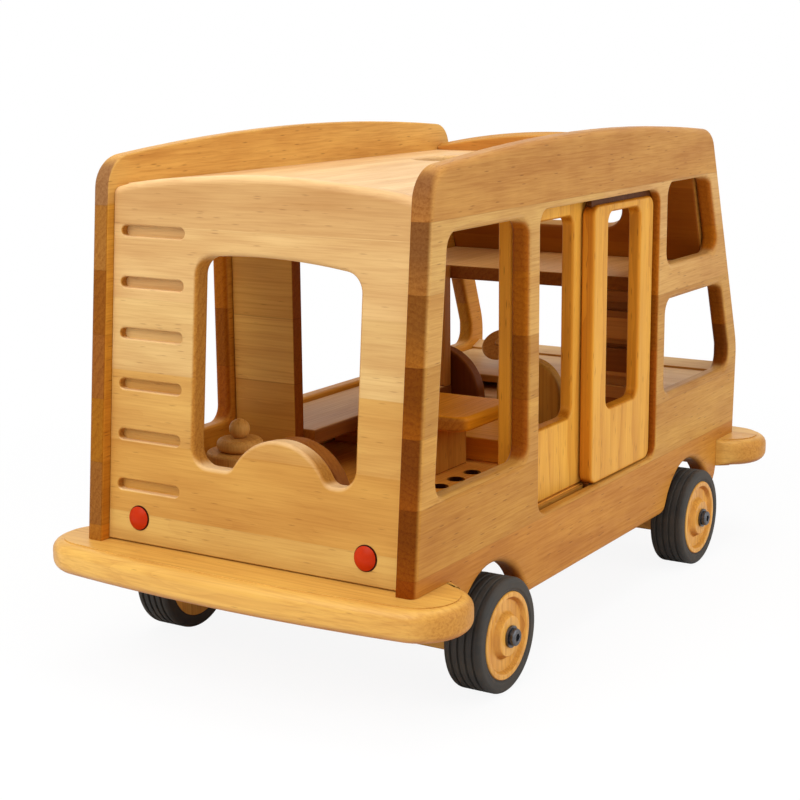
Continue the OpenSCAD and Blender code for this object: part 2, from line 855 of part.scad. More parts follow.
// Bumper outline, outer edge towards +X: an arc that runs into two round ends
module bumper_outline() {
    reach = bumper_w / 2 - bumper_end_r;
    back = (reach * reach - bumper_bow * bumper_bow) / (2 * bumper_bow);
    r = back + bumper_end_r + bumper_bow;
    touch = unit([back, reach]) * r - [back, 0];
    brim = bumper_end_r + bumper_bow + sink;
    for (side = sides)
        translate([0, side * reach])
            circle(bumper_end_r);
    intersection() {
        translate([-back, 0])
            circle(r - arc_lap, $fn = fine);
        polygon([[-bumper_end_r, -reach], [0, -reach], [touch[0], -touch[1]], [brim, -touch[1]],
            [brim, touch[1]], touch, [0, reach], [-bumper_end_r, reach]]);
    }
}

module bumper(side, screw_x) {
    color(beech)
        difference() {
            level(bumper_z, bumper_t)
                translate([side * (half_l - bumper_d + bumper_end_r), 0])
                    rotate([0, 0, 90 - side * 90])
                        bumper_outline();
            for (side = sides)
                translate([screw_x, side * bumper_screw_y, bumper_z - sink]) {
                    cylinder(h = bumper_t + 2 * sink, r = screw_r);
                    cylinder(h = screw_head_h + sink, r = screw_head_r);
                }
        }
}

module rear_bumper() {
    bumper(-1, bumper_screw_xs[0]);
}

module front_bumper() {
    bumper(1, bumper_screw_xs[1]);
}

// Axle block with a bore at each end for the wheel bolts
module axle_block(x) {
    color(walnut)
        difference() {
            translate([x - block_d / 2, -block_end, block_z])
                cube([block_d, 2 * block_end, deck_z - block_z]);
            for (side = sides) {
                translate([x, side * (block_end + sink), wheel_r])
                    rotate([side * 90, 0, 0])
                        cylinder(h = bolt_grip + 2 * sink, r = bore_r);
                translate([x, side * block_screw_y, deck_z - block_bite - screw_fit])
                    cylinder(h = block_bite + sink, r = screw_r);
            }
        }
}

module rear_axle_block() {
    axle_block(rear_axle_x);
}

module front_axle_block() {
    axle_block(front_axle_x);
}

// Wheel parts are turned about Z, with the outer face up, and then set on the axle
module on_axle(x, side) {
    translate([x, side * wheel_in, wheel_r])
        rotate([-side * 90, 0, 0])
            children();
}

module hub(x, side) {
    floor_h = tyre_w - dish_d;
    color(beech)
        on_axle(x, side)
            rotate_extrude()
                polygon([[bore_r, -inner_boss], [boss_r, -inner_boss], [boss_r, 0], [hub_r, 0],
                    [hub_r, tyre_w], [hub_r - rim_w, tyre_w], [hub_r - rim_w - dish_d / 2, floor_h],
                    [boss_r + dish_d / 2, floor_h], [boss_r, face_h], [bore_r, face_h]]);
}

module tyre(x, side) {
    inner = hub_r + tyre_fit;
    step = (tyre_w - 2 * shoulder_r) / tread_grooves;
    color(rubber)
        on_axle(x, side)
            rotate_extrude()
                difference() {
                    translate([inner, 0])
                        square([wheel_r - inner, tyre_w]);
                    for (i = [0:tread_grooves - 1])
                        translate([wheel_r - groove_w, shoulder_r + (i + 0.5) * step - groove_w / 2])
                            square([groove_w + sink, groove_w]);
                    for (edge = [[shoulder_r, -1], [tyre_w - shoulder_r, 1]])
                        difference() {
                            translate([wheel_r - shoulder_r, edge[0] - (1 - edge[1]) / 2 * (shoulder_r + sink)])
                                square(shoulder_r + sink);
                            translate([wheel_r - shoulder_r, edge[0]])
                                circle(shoulder_r);
                        }
                }
}

module hub_rear_right() {
    hub(rear_axle_x, -1);
}

module hub_rear_left() {
    hub(rear_axle_x, 1);
}

module hub_front_right() {
    hub(front_axle_x, -1);
}

module hub_front_left() {
    hub(front_axle_x, 1);
}

module tyre_rear_right() {
    tyre(rear_axle_x, -1);
}

module tyre_rear_left() {
    tyre(rear_axle_x, 1);
}

module tyre_front_right() {
    tyre(front_axle_x, -1);
}

module tyre_front_left() {
    tyre(front_axle_x, 1);
}

module wheel_bolts() {
    shank = head_h + inner_boss + spin_gap + bolt_grip;
    color(steel)
        for (x = axles, side = sides)
            on_axle(x, side)
                difference() {
                    union() {
                        translate([0, 0, head_h - shank])
                            cylinder(h = shank + sink, d = bolt_d);
                        translate([0, 0, head_h])
                            cylinder(h = bolt_head_h, d = bolt_head_d);
                    }
                    translate([0, 0, head_h + bolt_head_h / 2])
                        cylinder(h = bolt_head_h, d = socket_d, $fn = 6);
                }
}

module wheel_washers() {
    color(steel)
        for (x = axles, side = sides)
            on_axle(x, side)
                translate([0, 0, washer_h])
                    difference() {
                        cylinder(h = washer_t, d = washer_d);
                        translate([0, 0, -sink])
                            cylinder(h = washer_t + 2 * sink, r = bore_r);
                    }
}

module screw(l) {
    cylinder(h = screw_head_h, d = screw_head_d);
    cylinder(h = screw_head_h + l, d = screw_d);
}

module bumper_screws() {
    color(steel)
        for (x = bumper_screw_xs, side = sides)
            translate([x, side * bumper_screw_y, bumper_z])
                screw(bumper_screw_l);
}

module block_screws() {
    color(steel)
        for (x = axles, side = sides)
            translate([x, side * block_screw_y, floor_z])
                rotate([180, 0, 0])
                    screw(block_screw_l);
}

// Alcove bed and the ladder board below its rear edge
module alcove_bed() {
    color(walnut)
        upright(-half_in, 2 * half_in)
            polygon([[ladder_x, bed_under], [screen_in(bed_under), bed_under],
                [screen_in(bed_z), bed_z], [ladder_x, bed_z]]);
}

module ladder_board() {
    color(walnut)
        difference() {
            crosswise(ladder_x, wall_t)
                translate([-half_in, floor_z])
                    square([ladder_w, bed_under - floor_z]);
            for (i = [0:ladder_slots - 1])
                crosswise(ladder_x - sink, rung_d + sink)
                    translate([-half_in + rung_margin + rung_t / 2, floor_z + ladder_h + i * ladder_pitch])
                        slot(ladder_slot_w, rung_t);
        }
}

// Upright board between the worktop and the rear edge of the bed
module bed_post() {
    color(walnut)
        translate([ladder_x - wall_t, half_in - worktop_w, worktop_z])
            cube([wall_t, worktop_w, bed_z - worktop_z]);
}

// Bathroom in the left rear corner
module bathroom_wall() {
    color(maple)
        crosswise(wall_x, wall_t)
            translate([half_in - wall_w, floor_z])
                square([wall_w, roof_under - floor_z]);
}

module on_toilet(z) {
    translate([toilet_x, toilet_y, floor_z + z])
        children();
}

module toilet_bowl() {
    color(alder)
        on_toilet(0)
            cylinder(h = bowl_h, r = bowl_r);
}

module toilet_lid() {
    r = lid_t / 2;
    color(alder)
        on_toilet(bowl_h)
            rotate_extrude() {
                square([lid_r - r, lid_t]);
                intersection() {
                    translate([lid_r - r, r])
                        circle(r);
                    translate([lid_r - r, 0])
                        square([r, lid_t]);
                }
            }
}

module toilet_knob() {
    color(alder)
        on_toilet(bowl_h + lid_t)
            rotate_extrude()
                intersection() {
                    translate([0, knob_r - knob_flat])
                        circle(knob_r);
                    square([knob_r, 2 * knob_r]);
                }
}

// Seats: a rounded back on the floor with a cushion board against it
module seat_back(x, y, z, r) {
    color(walnut)
        crosswise(x, back_t)
            intersection() {
                union() {
                    translate([y, z])
                        circle(r);
                    translate([y - r, floor_z])
                        square([2 * r, z - floor_z]);
                }
                translate([y - r, floor_z])
                    square([2 * r, z + r - floor_z]);
            }
}

module cushion(x, y, d, w, h) {
    color(alder)
        translate([x, y, floor_z])
            cube([d, w, h]);
}

module rear_seat() {
    cushion(rear_seat_x + back_t, -rear_seat_y - rear_back_r, rear_seat_d, 2 * rear_back_r, seat_h);
}

module rear_seat_back() {
    seat_back(rear_seat_x, -rear_seat_y, rear_back_z, rear_back_r);
}

module driver_seat_back() {
    seat_back(front_seat_x, driver_y, driver_top - driver_r, driver_r);
}

module passenger_seat_back() {
    seat_back(front_seat_x, -passenger_y, passenger_top - passenger_r, passenger_r);
}

module cab_seat() {
    cushion(front_seat_x + back_t, seats_right, cab_seat_d, seats_w, cab_seat_h);
}

module dinette_bench() {
    cushion(bench_x, seats_right, bench_d, seats_w, seat_h);
}

// Table and worktop
module table_top() {
    color(beech)
        level(table_z - top_t, top_t)
            rounded_box(table_x, -table_y - table_w / 2, table_x + table_l, -table_y + table_w / 2, table_r);
}

module table_leg() {
    color(beech)
        translate([table_x + leg_inset, -table_y - leg_t / 2, floor_z])
            cube([table_l - 2 * leg_inset, leg_t, table_z - top_t - floor_z]);
}

module worktop() {
    color(alder)
        translate([wall_front_x, half_in - worktop_w, worktop_z - top_t])
            cube([ladder_x - wall_front_x, worktop_w, top_t]);
}

module worktop_end() {
    color(walnut)
        translate([ladder_x - wall_t, half_in - worktop_w, floor_z])
            cube([wall_t, worktop_w, worktop_z - top_t - floor_z]);
}

// Cab: dashboard, steering column and steering wheel
module on_column() {
    translate([column_x, column_y, dash_z])
        rotate([0, -column_rake, 0])
            children();
}

module dashboard() {
    color(maple)
        difference() {
            translate([dash_x, -half_in, dash_z - dash_t])
                cube([front_in_x - dash_x, 2 * half_in, dash_t]);
            on_column()
                translate([0, 0, -column_seat - screw_fit])
                    cylinder(h = column_seat + column_d, d = column_d + 2 * screw_fit);
        }
}

module steering_column() {
    color(beech)
        on_column()
            translate([0, 0, -column_seat])
                cylinder(h = column_seat + column_l, d = column_d);
}

module steering_wheel() {
    color(maple)
        on_column()
            translate([0, 0, wheel_lift])
                difference() {
                    cylinder(h = steering_t, d = steering_d);
                    translate([0, 0, -sink])
                        cylinder(h = steering_t + 2 * sink, r = column_d / 2 + bolt_fit);
                }
}

side_panel_left();
side_panel_right();
rear_panel();
windscreen_panel();
front_panel();
roof_panel();
floor_panel();
rear_bumper();
front_bumper();
rear_axle_block();
front_axle_block();
hub_rear_right();
hub_rear_left();
hub_front_right();
hub_front_left();
tyre_rear_right();
tyre_rear_left();
tyre_front_right();
tyre_front_left();
wheel_bolts();
wheel_washers();
bumper_screws();
block_screws();
tail_lamp_left();
tail_lamp_right();
head_lamp_left();
head_lamp_right();
front_door_leaf();
rear_door_leaf();
alcove_bed();
ladder_board();
bed_post();
bathroom_wall();
toilet_bowl();
toilet_lid();
toilet_knob();
rear_seat();
rear_seat_back();
table_top();
table_leg();
worktop();
worktop_end();
dinette_bench();
driver_seat_back();
passenger_seat_back();
cab_seat();
dashboard();
steering_column();
steering_wheel();
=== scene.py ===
import json
import math

import bpy
import numpy as np
from mathutils import Matrix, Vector
from mathutils.geometry import tessellate_polygon


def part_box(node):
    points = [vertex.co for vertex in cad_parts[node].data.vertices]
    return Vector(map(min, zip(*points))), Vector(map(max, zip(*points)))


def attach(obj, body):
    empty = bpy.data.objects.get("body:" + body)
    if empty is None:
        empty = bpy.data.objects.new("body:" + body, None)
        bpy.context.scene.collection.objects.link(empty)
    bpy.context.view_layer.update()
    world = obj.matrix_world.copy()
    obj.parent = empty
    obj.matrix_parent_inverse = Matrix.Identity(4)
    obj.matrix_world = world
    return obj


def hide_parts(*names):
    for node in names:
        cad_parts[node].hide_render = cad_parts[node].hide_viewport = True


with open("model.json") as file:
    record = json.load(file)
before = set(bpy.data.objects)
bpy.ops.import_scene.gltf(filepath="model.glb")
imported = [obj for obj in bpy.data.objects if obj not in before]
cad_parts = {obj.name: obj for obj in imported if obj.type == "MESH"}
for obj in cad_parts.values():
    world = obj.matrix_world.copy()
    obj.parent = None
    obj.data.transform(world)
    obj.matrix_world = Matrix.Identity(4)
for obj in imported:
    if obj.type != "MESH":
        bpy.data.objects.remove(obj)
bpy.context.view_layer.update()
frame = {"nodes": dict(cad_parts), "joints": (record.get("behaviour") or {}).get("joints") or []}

print("frame loaded,", len(frame["nodes"]), "nodes")

vanBody = "van"
xAxis, yAxis, zAxis = np.eye(3)
# mm: corners this near lie in a face, on an edge or at a level, and rims this alike belong together
near = dict(face=0.1, edge=0.02, level=0.2, rimMiddle=2, rimSpan=0.5)
alongHint, alongAxis = 0.7, 0.9   # cosines from which a face looks along a hint, or a way runs along an axis


# vectors divided by their lengths
def unit(v):
    return v / np.maximum(np.linalg.norm(v, axis=-1, keepdims=True), 1e-9)


# lowest and highest corner of a node's box in mm
def boxOf(nodeName):
    return tuple(np.array(corner) * 1000 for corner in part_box(nodeName))


def meshCorners(mesh):
    corners = np.empty(len(mesh.vertices) * 3, np.float32)
    mesh.vertices.foreach_get("co", corners)
    return corners.reshape(-1, 3)


# corners of a CAD node in mm, equal ones numbered once, and its triangles
def nodeShape(nodeName):
    mesh = frame["nodes"][nodeName].data
    mesh.calc_loop_triangles()
    triangles = np.empty(len(mesh.loop_triangles) * 3, np.int32)
    mesh.loop_triangles.foreach_get("vertices", triangles)
    points, numbers = np.unique(np.round(meshCorners(mesh) * 1e5), axis=0, return_inverse=True)
    return points / 100, numbers.ravel()[triangles].reshape(-1, 3)


# normal of the largest flat face of a node that looks along the hint: the rounded normal with the most area
def mainNormal(points, triangles, hint):
    a, b, c = (points[triangles[:, k]] for k in range(3))
    area = np.cross(b - a, c - a)
    keys, group = np.unique(np.round(unit(area), 2), axis=0, return_inverse=True)
    weight = np.bincount(group.ravel(), np.linalg.norm(area, axis=1), len(keys)) * (keys @ hint > alongHint)
    return unit(area[group.ravel() == weight.argmax()].sum(0))


# edges cut at every corner that lies on them: the corner's share of the edge sorts the pieces
def cutEdges(points, edges):
    start, used = points[edges[:, 0]], np.unique(edges)
    along = points[edges[:, 1]] - start
    offset = points[used][None] - start[:, None]
    share = (offset * along[:, None]).sum(2) / (along ** 2).sum(1)[:, None]
    away = np.linalg.norm(offset - share[..., None] * along[:, None], axis=2)
    edge, corner = np.nonzero((away < near["edge"]) & (share > 1e-6) & (share < 1 - 1e-6))
    count = np.arange(len(edges))
    owner = np.concatenate([edge, count, count])
    place = np.concatenate([share[edge, corner], count * 0, count * 0 + 1])
    number = np.concatenate([used[corner], edges[:, 0], edges[:, 1]])
    order = np.lexsort((place, owner))
    owner, number = owner[order], number[order]
    same = owner[1:] == owner[:-1]
    return np.column_stack([number[:-1][same], number[1:][same]])


# edges passed more often one way than the other: a shared edge is passed once each way
def freeEdges(edges, count):
    keys, ways = np.unique(np.sort(edges, axis=1) @ [count, 1], return_inverse=True)
    net = np.bincount(ways.ravel(), np.sign(edges[:, 1] - edges[:, 0]), len(keys)).round().astype(int)
    pairs = np.column_stack([keys // count, keys % count])[net != 0]
    return np.where((net[net != 0] > 0)[:, None], pairs, pairs[:, ::-1])


# closed rims of the flat face at a level: its free edges, put in order by doubling jumps,
# so that every corner learns its rim's first corner and the way to it
def faceRims(points, triangles, normal, level):
    flat = np.abs(points @ normal - level) < near["face"]
    inPlane = triangles[flat[triangles].all(1)]
    edges = np.concatenate([inPlane[:, [0, 1]], inPlane[:, [1, 2]], inPlane[:, [2, 0]]])
    rim = freeEdges(cutEdges(points, freeEdges(edges, len(points))), len(points))
    number = np.full(len(points), -1)
    number[rim[:, 0]] = np.arange(len(rim))
    following = number[rim[:, 1]]
    rounds = range(int(np.ceil(np.log2(len(rim)))) + 1)
    first, jump = np.arange(len(rim)), following.copy()
    for _ in rounds:
        first, jump = np.minimum(first, first[jump]), jump[jump]
    head = first == np.arange(len(rim))
    steps, target = np.where(head, 0, 1), np.where(head, np.arange(len(rim)), following)
    for _ in rounds:
        steps, target = steps + steps[target], target[target]
    rims = []
    for h in np.unique(first):
        members = np.flatnonzero(first == h)
        order = np.argsort((len(members) - steps[members]) % len(members))
        rims.append(points[rim[members[order], 0]])
    return rims


# a crossing further off than this many radii isn't used; edges turn sharply beyond 25 degrees
farCrossing, straight, sharpTurn = 2.2, 0.02, math.cos(math.radians(25))


# inset of each rim corner: where the two edges at it, each moved in by its own radius, cross,
# or along the bisector where they run straight on or would cross far off
def rimInset(rim, radius):
    ahead = unit(np.roll(rim, -1, 0) - rim)
    outAhead = np.stack([ahead[:, 1], -ahead[:, 0]], 1)
    outBehind, behind = np.roll(outAhead, 1, 0), np.roll(radius, 1)
    cross = outBehind[:, 0] * outAhead[:, 1] - outBehind[:, 1] * outAhead[:, 0]
    bend = np.abs(cross) > straight
    safe = np.where(bend, cross, 1)
    crossing = np.stack([outBehind[:, 1] * radius - outAhead[:, 1] * behind,
                         outAhead[:, 0] * behind - outBehind[:, 0] * radius], 1) / safe[:, None]
    bend &= np.linalg.norm(crossing, axis=1) < farCrossing * np.maximum(radius, behind)
    mean = unit(outBehind + outAhead)
    inset = np.where(bend[:, None], crossing, -mean * ((radius + behind) / 2)[:, None])
    sharp = (outAhead * outBehind).sum(1) < sharpTurn
    start = np.where(sharp[:, None], outAhead, mean)
    end = np.roll(np.where(sharp[:, None], outBehind, mean), -1, 0)
    return inset, np.maximum(radius, behind), start, end


# triangles that fill the first rim and leave the others open, turned to run anticlockwise
def fillRims(rims):
    flat = np.concatenate(rims)
    found = np.array(tessellate_polygon([np.column_stack([r, np.zeros(len(r))]).tolist() for r in rims]))
    a, b, c = (flat[found[:, k]] for k in range(3))
    turn = (b[:, 0] - a[:, 0]) * (c[:, 1] - a[:, 1]) - (b[:, 1] - a[:, 1]) * (c[:, 0] - a[:, 0])
    turn = np.where(np.abs(turn) > 1e-9, turn, turn.sum())
    found[turn < 0] = found[turn < 0][:, ::-1]
    return found


# grid of quads over rows of points, closed round each row
def rowQuads(rows, columns, start):
    grid = start + np.arange(rows * columns).reshape(rows, columns)
    return np.stack([grid[:-1], grid[1:], np.roll(grid[1:], -1, 1), np.roll(grid[:-1], -1, 1)], -1)


roundSteps, squareRound = 6, 0.3
growRise, growSide, leastEase = 30, 60, 0.05
plainPocket = dict(round=0.6, deep=6.0)


# one board: the rims of its face and back, joined by a profile carried along each rim.
# The profile is a quarter round at the face, a straight edge and a quarter round at the back;
# a rim on one side only is a pocket with a round mouth and a flat floor.
def boardParts(nodeName, hint, cut):
    points, triangles = nodeShape(nodeName)
    normal = mainNormal(points, triangles, hint)
    up = zAxis if abs(normal[2]) < alongAxis else yAxis
    up = unit(up - normal * (up @ normal))
    axes = np.stack([np.cross(up, normal), up])
    top, low = (points @ normal).max(), (points @ normal).min()
    faceRimList = [r @ axes.T for r in faceRims(points, triangles, normal, top)]
    backRimList = [(r @ axes.T)[::-1] for r in faceRims(points, triangles, -normal, -low)]
    span = lambda r: np.ptp(r, axis=0)
    for rims in (faceRimList, backRimList):
        rims.sort(key=lambda r: -span(r).prod())
    pairs, alone, spare = [(faceRimList[0], backRimList[0])], [], backRimList[1:]
    for rim in faceRimList[1:]:
        match = [k for k, b in enumerate(spare) if np.abs(b.mean(0) - rim.mean(0)).max() < near["rimMiddle"]
                 and np.abs(span(b) - span(rim)).max() < near["rimSpan"]]
        if match:
            pairs.append((rim, spare.pop(match[0])))
        else:
            alone.append((rim, 1))
    alone += [(b[::-1], -1) for b in spare]
    angle = np.linspace(0, math.pi / 2, roundSteps + 1)
    wall = ((0, 1), (0, 1), None)
    corners, faces, normals, count = [], [], [], 0
    rings = {1: [], -1: []}

    def place(flat, height):
        return flat @ axes + np.reshape(height, (-1, 1)) * normal

    # strips of a quarter round: how much of the board's and of the rim's normal each edge has
    def quarter(side):
        turn = [(side * math.cos(t), math.sin(t)) for t in angle]
        return [(a, b, None) for a, b in zip(turn, turn[1:])]

    def backward(strips):
        return [(b, a, level) for a, b, level in strips[::-1]]

    # rows of a quarter round, from its rim in the flat to the full depth
    def rounded(rim, inset, depth, level, side):
        return [place(rim + inset * (1 - math.sin(t)), level - side * depth * (1 - math.cos(t))) for t in angle]

    def addFlat(filled, side):
        faces.extend((filled if side > 0 else filled[:, ::-1]).tolist())
        normals.append(np.tile(side * normal, (filled.size, 1)))

    def addStrips(rows, strips, start, end):
        nonlocal count
        rows = np.array(rows)
        corners.append(rows.reshape(-1, 3))
        quads = rowQuads(len(rows), rows.shape[1], count)
        count += rows.shape[0] * rows.shape[1]
        faces.extend(quads.reshape(-1, 4).tolist())
        for (ca, sa), (cb, sb), level in strips:
            first, last = (start @ axes, end @ axes) if level is None else (level @ axes, level @ axes)
            n = np.stack([ca * normal + sa * first, cb * normal + sb * first,
                          cb * normal + sb * last, ca * normal + sa * last], 1)
            normals.append(n.reshape(-1, 3))
        return quads

    for k, (face, back) in enumerate(pairs):
        if len(back) == len(face):
            back = np.roll(back, -np.argmin(np.linalg.norm(back - face[0], axis=1)), 0)
        else:
            back = face
        ends = np.stack([place(face, top), np.roll(place(face, top), -1, 0)])
        isAt = lambda way, level: (np.abs(ends @ way - level) < near["level"]).all(0)
        square = np.zeros(len(face), bool)
        for way, level in cut.get("squareAt", []):
            square |= isAt(way, level)
        own = cut if k == 0 else {}   # what holds for the outline alone
        outer, inner = (cut["faceRound"], cut["backRound"]) if own else (cut["holeRound"], cut["holeBackRound"])
        groove = cut.get("groove") if k == 1 else None
        if groove:
            outer, inner = groove["outerRound"], groove["innerRound"]
        if "grow" in own:   # makes up for what the rounding takes off the outline
            rise = np.clip((face[:, 1] - cut["growFrom"]) / growRise, 0, 1)
            fromMiddle = np.abs(face[:, 0] - (face[:, 0].min() + face[:, 0].max()) / 2)
            rise = rise * np.clip((fromMiddle - cut.get("growBeyond", -growSide)) / growSide, 0, 1)
            away = -rimInset(face, np.ones(len(face)))[0] * np.array(cut["grow"]) * rise[:, None]
            face, back = face + away, back + away
        faceRadius, backRadius = np.where(square, squareRound, outer), np.where(square, squareRound, inner)
        if "topRound" in own:
            alongTop = -unit(np.roll(face, -1, 0) - face)[:, 0] > alongAxis
            faceRadius = np.where(alongTop, cut["topRound"], faceRadius)
        if "tip" in own:   # narrow ends beside the wheel arches
            t = cut["tip"]
            narrow = (np.abs(face[:, 0]) > t["beyond"]) & (face[:, 1] < t["below"])
            faceRadius = np.where(narrow & np.roll(narrow, -1) & ~square, t["round"], faceRadius)
        for way, level, radius in cut.get("roundAt", []):
            faceRadius = np.where(isAt(way, level), radius, faceRadius)
        if "ease" in own:   # the inner edge stays crisp, and is rounded only beyond the panels
            e = cut["ease"]
            grown = np.clip((np.abs(face[:, 1]) - e["from"]) / e["over"], leastEase, 1)
            grown = np.where(np.abs(face[:, 0]) < e["within"], grown, 1)
            faceRadius, backRadius = faceRadius * grown, backRadius * grown
        insetF, depthF, start, end = rimInset(face, faceRadius)
        insetB, depthB, _, _ = rimInset(back, backRadius)
        step = own.get("step", 0)
        rows, strips = rounded(face, insetF, depthF - step, top - step, 1), quarter(1)
        if step:   # shoulder left by the cutter: a small upright drop before the quarter round
            rows, strips = [place(face + insetF, top)] + rows, [wall] + strips
        if groove:
            bottom, head = face[:, 1].min(), face[:, 1].max()
            lower, upper = face[:, 1] < bottom + groove["corner"], face[:, 1] > head - groove["corner"]
            reach = np.where(lower, bottom - groove["deep"], np.where(upper, head + groove["deep"], face[:, 1]))
            cutRim = np.column_stack([face[:, 0], reach])
            lowerEdge, upperEdge = lower & np.roll(lower, -1), upper & np.roll(upper, -1)
            flatOut = np.where(lowerEdge[:, None], [0, 1], np.where(upperEdge[:, None], [0, -1], start))
            mouth, far = top - groove["from"], top - groove["from"] - groove["wide"]
            rows += [place(face, mouth), place(cutRim, mouth), place(cutRim, far), place(face, far)]
            strips += [wall, ((-1, 0), (-1, 0), None), ((0, 1), (0, 1), flatOut), ((1, 0), (1, 0), None)]
        rows += rounded(back, insetB, depthB, low, -1)[::-1]
        quads = addStrips(rows, strips + [wall] + backward(quarter(-1)), start, end)
        rings[1].append((face + insetF, quads[0, :, 0]))
        rings[-1].append((back + insetB, quads[-1, :, 1]))

    for rim, side in alone:
        rim = rim if side > 0 else rim[::-1]
        inset, depth, start, end = rimInset(rim, np.full(len(rim), cut.get("pocketRound", plainPocket["round"])))
        level = top if side > 0 else low
        rows = rounded(rim, inset, depth, level, side)
        rows.append(place(rim, level - side * cut.get("pocketDeep", plainPocket["deep"])))
        strips = quarter(side) + [wall]
        if side < 0:
            rows, strips = rows[::-1], backward(strips)
        quads = addStrips(rows, strips, start, end)
        mouth, floor = (quads[0, :, 0], quads[-1, :, 1]) if side > 0 else (quads[-1, :, 1], quads[0, :, 0])
        rings[side].append((rim + inset, mouth))
        addFlat(floor[::-1][fillRims([rim[::-1]])], side)

    for side, found in rings.items():
        addFlat(np.concatenate([numbers for _, numbers in found])[fillRims([r for r, _ in found])], side)
    return np.concatenate(corners), faces, np.concatenate(normals)


arcSteps = np.linspace(0, 1, 7)[:, None]
columnsOf = dict(bolt=48, lamp=64, disc=96, hub=128, tyre=160)


# a polyline's corners replaced by arcs: tangent points lie radius / tan(half angle) from the corner,
# and each point keeps its own normal, to the right of the way along the line
def softLine(corners, radii, closed):
    corners = np.array(corners, float)
    at, out = [], []
    toRight = lambda way: np.array([way[1], -way[0]])
    for k, radius in enumerate(radii):
        p, u, w = corners[k], unit(corners[k - 1] - corners[k]), unit(corners[(k + 1) % len(corners)] - corners[k])
        if not closed and k in (0, len(corners) - 1):
            at.append(p[None])
            out.append(toRight(w if k == 0 else -u)[None])
            continue
        half = math.acos(np.clip(u @ w, -1, 1)) / 2
        turn = math.pi - 2 * half
        bulge = np.sign(u[1] * w[0] - u[0] * w[1])
        normal = (np.sin((1 - arcSteps) * turn) * toRight(-u) + np.sin(arcSteps * turn) * toRight(w)) / math.sin(turn)
        at.append(p + unit(u + w) * radius / math.sin(half) + bulge * radius * normal)
        out.append(normal)
    return np.concatenate(at), np.concatenate(out)


# a turned piece: every profile point (radius, height) carried round the axis, an end on the axis kept as one corner;
# spread gives the radius a share that changes with the angle, for hexagons
def turnedParts(line, out, centre, axis, closed, columns=columnsOf["disc"], spread=None):
    side = unit(np.cross(axis, zAxis if abs(axis[2]) < alongAxis else xAxis))
    angle = np.linspace(0, 2 * math.pi, columns, endpoint=False)
    ray = np.cos(angle)[:, None] * side + np.sin(angle)[:, None] * np.cross(axis, side)
    radius = line[:, :1] * (np.ones((1, columns)) if spread is None else spread(angle))
    points = centre + radius[..., None] * ray + line[:, 1:2, None] * axis
    normals = out[:, :1, None] * ray + out[:, 1:2, None] * axis
    last = len(line) - 1
    grid = np.arange(len(line) * columns).reshape(-1, columns)
    poles = [k for k in (0, last) if not closed and line[k, 0] < 1e-6]
    grid[poles] = grid[poles, :1]
    grid = np.concatenate([grid, grid[:1]]) if closed else grid
    quads = np.stack([grid[:-1], np.roll(grid[:-1], -1, 1), np.roll(grid[1:], -1, 1), grid[1:]], -1)
    used, numbers = np.unique(quads, return_inverse=True)
    faces = []
    for k, strip in enumerate(numbers.reshape(quads.shape)):
        if k == 0 and 0 in poles:
            strip = strip[:, [0, 2, 3]]
        elif k == len(quads) - 1 and last in poles:
            strip = strip[:, [0, 1, 2]]
        faces.extend(strip.tolist())
    return points.reshape(-1, 3)[used], faces, normals.reshape(-1, 3)[used][np.concatenate(faces)]


# several part lists as one, their corner numbers moved up in turn
def joined(parts):
    starts = np.cumsum([0] + [len(p[0]) for p in parts])
    faces = [[i + s for i in f] for (_, fs, _), s in zip(parts, starts.tolist()) for f in fs]
    return np.concatenate([p[0] for p in parts]), faces, np.concatenate([p[2] for p in parts])


# mm to metres, into a mesh with its own corner normals, riding on its body. It replaces its node and is named
# from it in camel case, one word with board after it; a piece with a name of its own is added to the node's piece
def makePiece(part, body, material, nodeName, ownName=None):
    corners, faces, normals = part
    words = nodeName.split("_") if "_" in nodeName else [nodeName, "board"]
    name = ownName or words[0] + "".join(w.capitalize() for w in words[1:])
    mesh = bpy.data.meshes.new(name)
    mesh.from_pydata((corners / 1000).tolist(), [], faces)
    mesh.polygons.foreach_set("use_smooth", np.ones(len(faces), bool))
    mesh.normals_split_custom_set(unit(normals).tolist())
    mesh.materials.append(material)
    piece = bpy.data.objects.new(name, mesh)
    bpy.context.scene.collection.objects.link(piece)
    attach(piece, body)
    if not ownName:
        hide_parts(nodeName)


# sRGB hex to linear: the two-part curve of the standard
def linear(hexText):
    c = np.array([int(hexText[k:k + 2], 16) for k in (1, 3, 5)]) / 255
    return tuple(np.where(c <= 0.04045, c / 12.92, ((c + 0.055) / 1.055) ** 2.4)) + (1.0,)


# empties a tree and gives the function that adds a node to it, sets what is named, fills a ramp's stops, and links
# or sets its sockets, by name or in order; a node given to a socket stands for its first output
def adder(tree):
    tree.nodes.clear()

    def put(kind, sockets=(), operation=None, stops=(), **settings):
        node = tree.nodes.new("ShaderNode" + kind)
        if operation:
            node.operation = operation
        for key, value in settings.items():
            setattr(node, key, value)
        if stops:
            ramp = node.color_ramp
            while len(ramp.elements) < len(stops):
                ramp.elements.new(0.5)
            for element, (position, colour) in zip(ramp.elements, stops):
                element.position, element.color = position, colour
        for key, value in sockets.items() if isinstance(sockets, dict) else enumerate(sockets):
            value = value.outputs[0] if isinstance(value, bpy.types.Node) else value
            if isinstance(value, bpy.types.NodeSocket):
                tree.links.new(value, node.inputs[key])
            else:
                node.inputs[key].default_value = value
        return node

    return put


def newMaterial(name):
    material = bpy.data.materials.new(name)
    material.use_nodes = True
    return material, adder(material.node_tree)


grainTurn = {"x": (0, 0, 0), "y": (0, 0, -math.pi / 2), "z": (0, math.pi / 2, 0)}
grainWay = dict(zip("xyz", np.eye(3).tolist()))
logShift = (900, 90, 90)        # mm: how far apart in the log two staves may lie
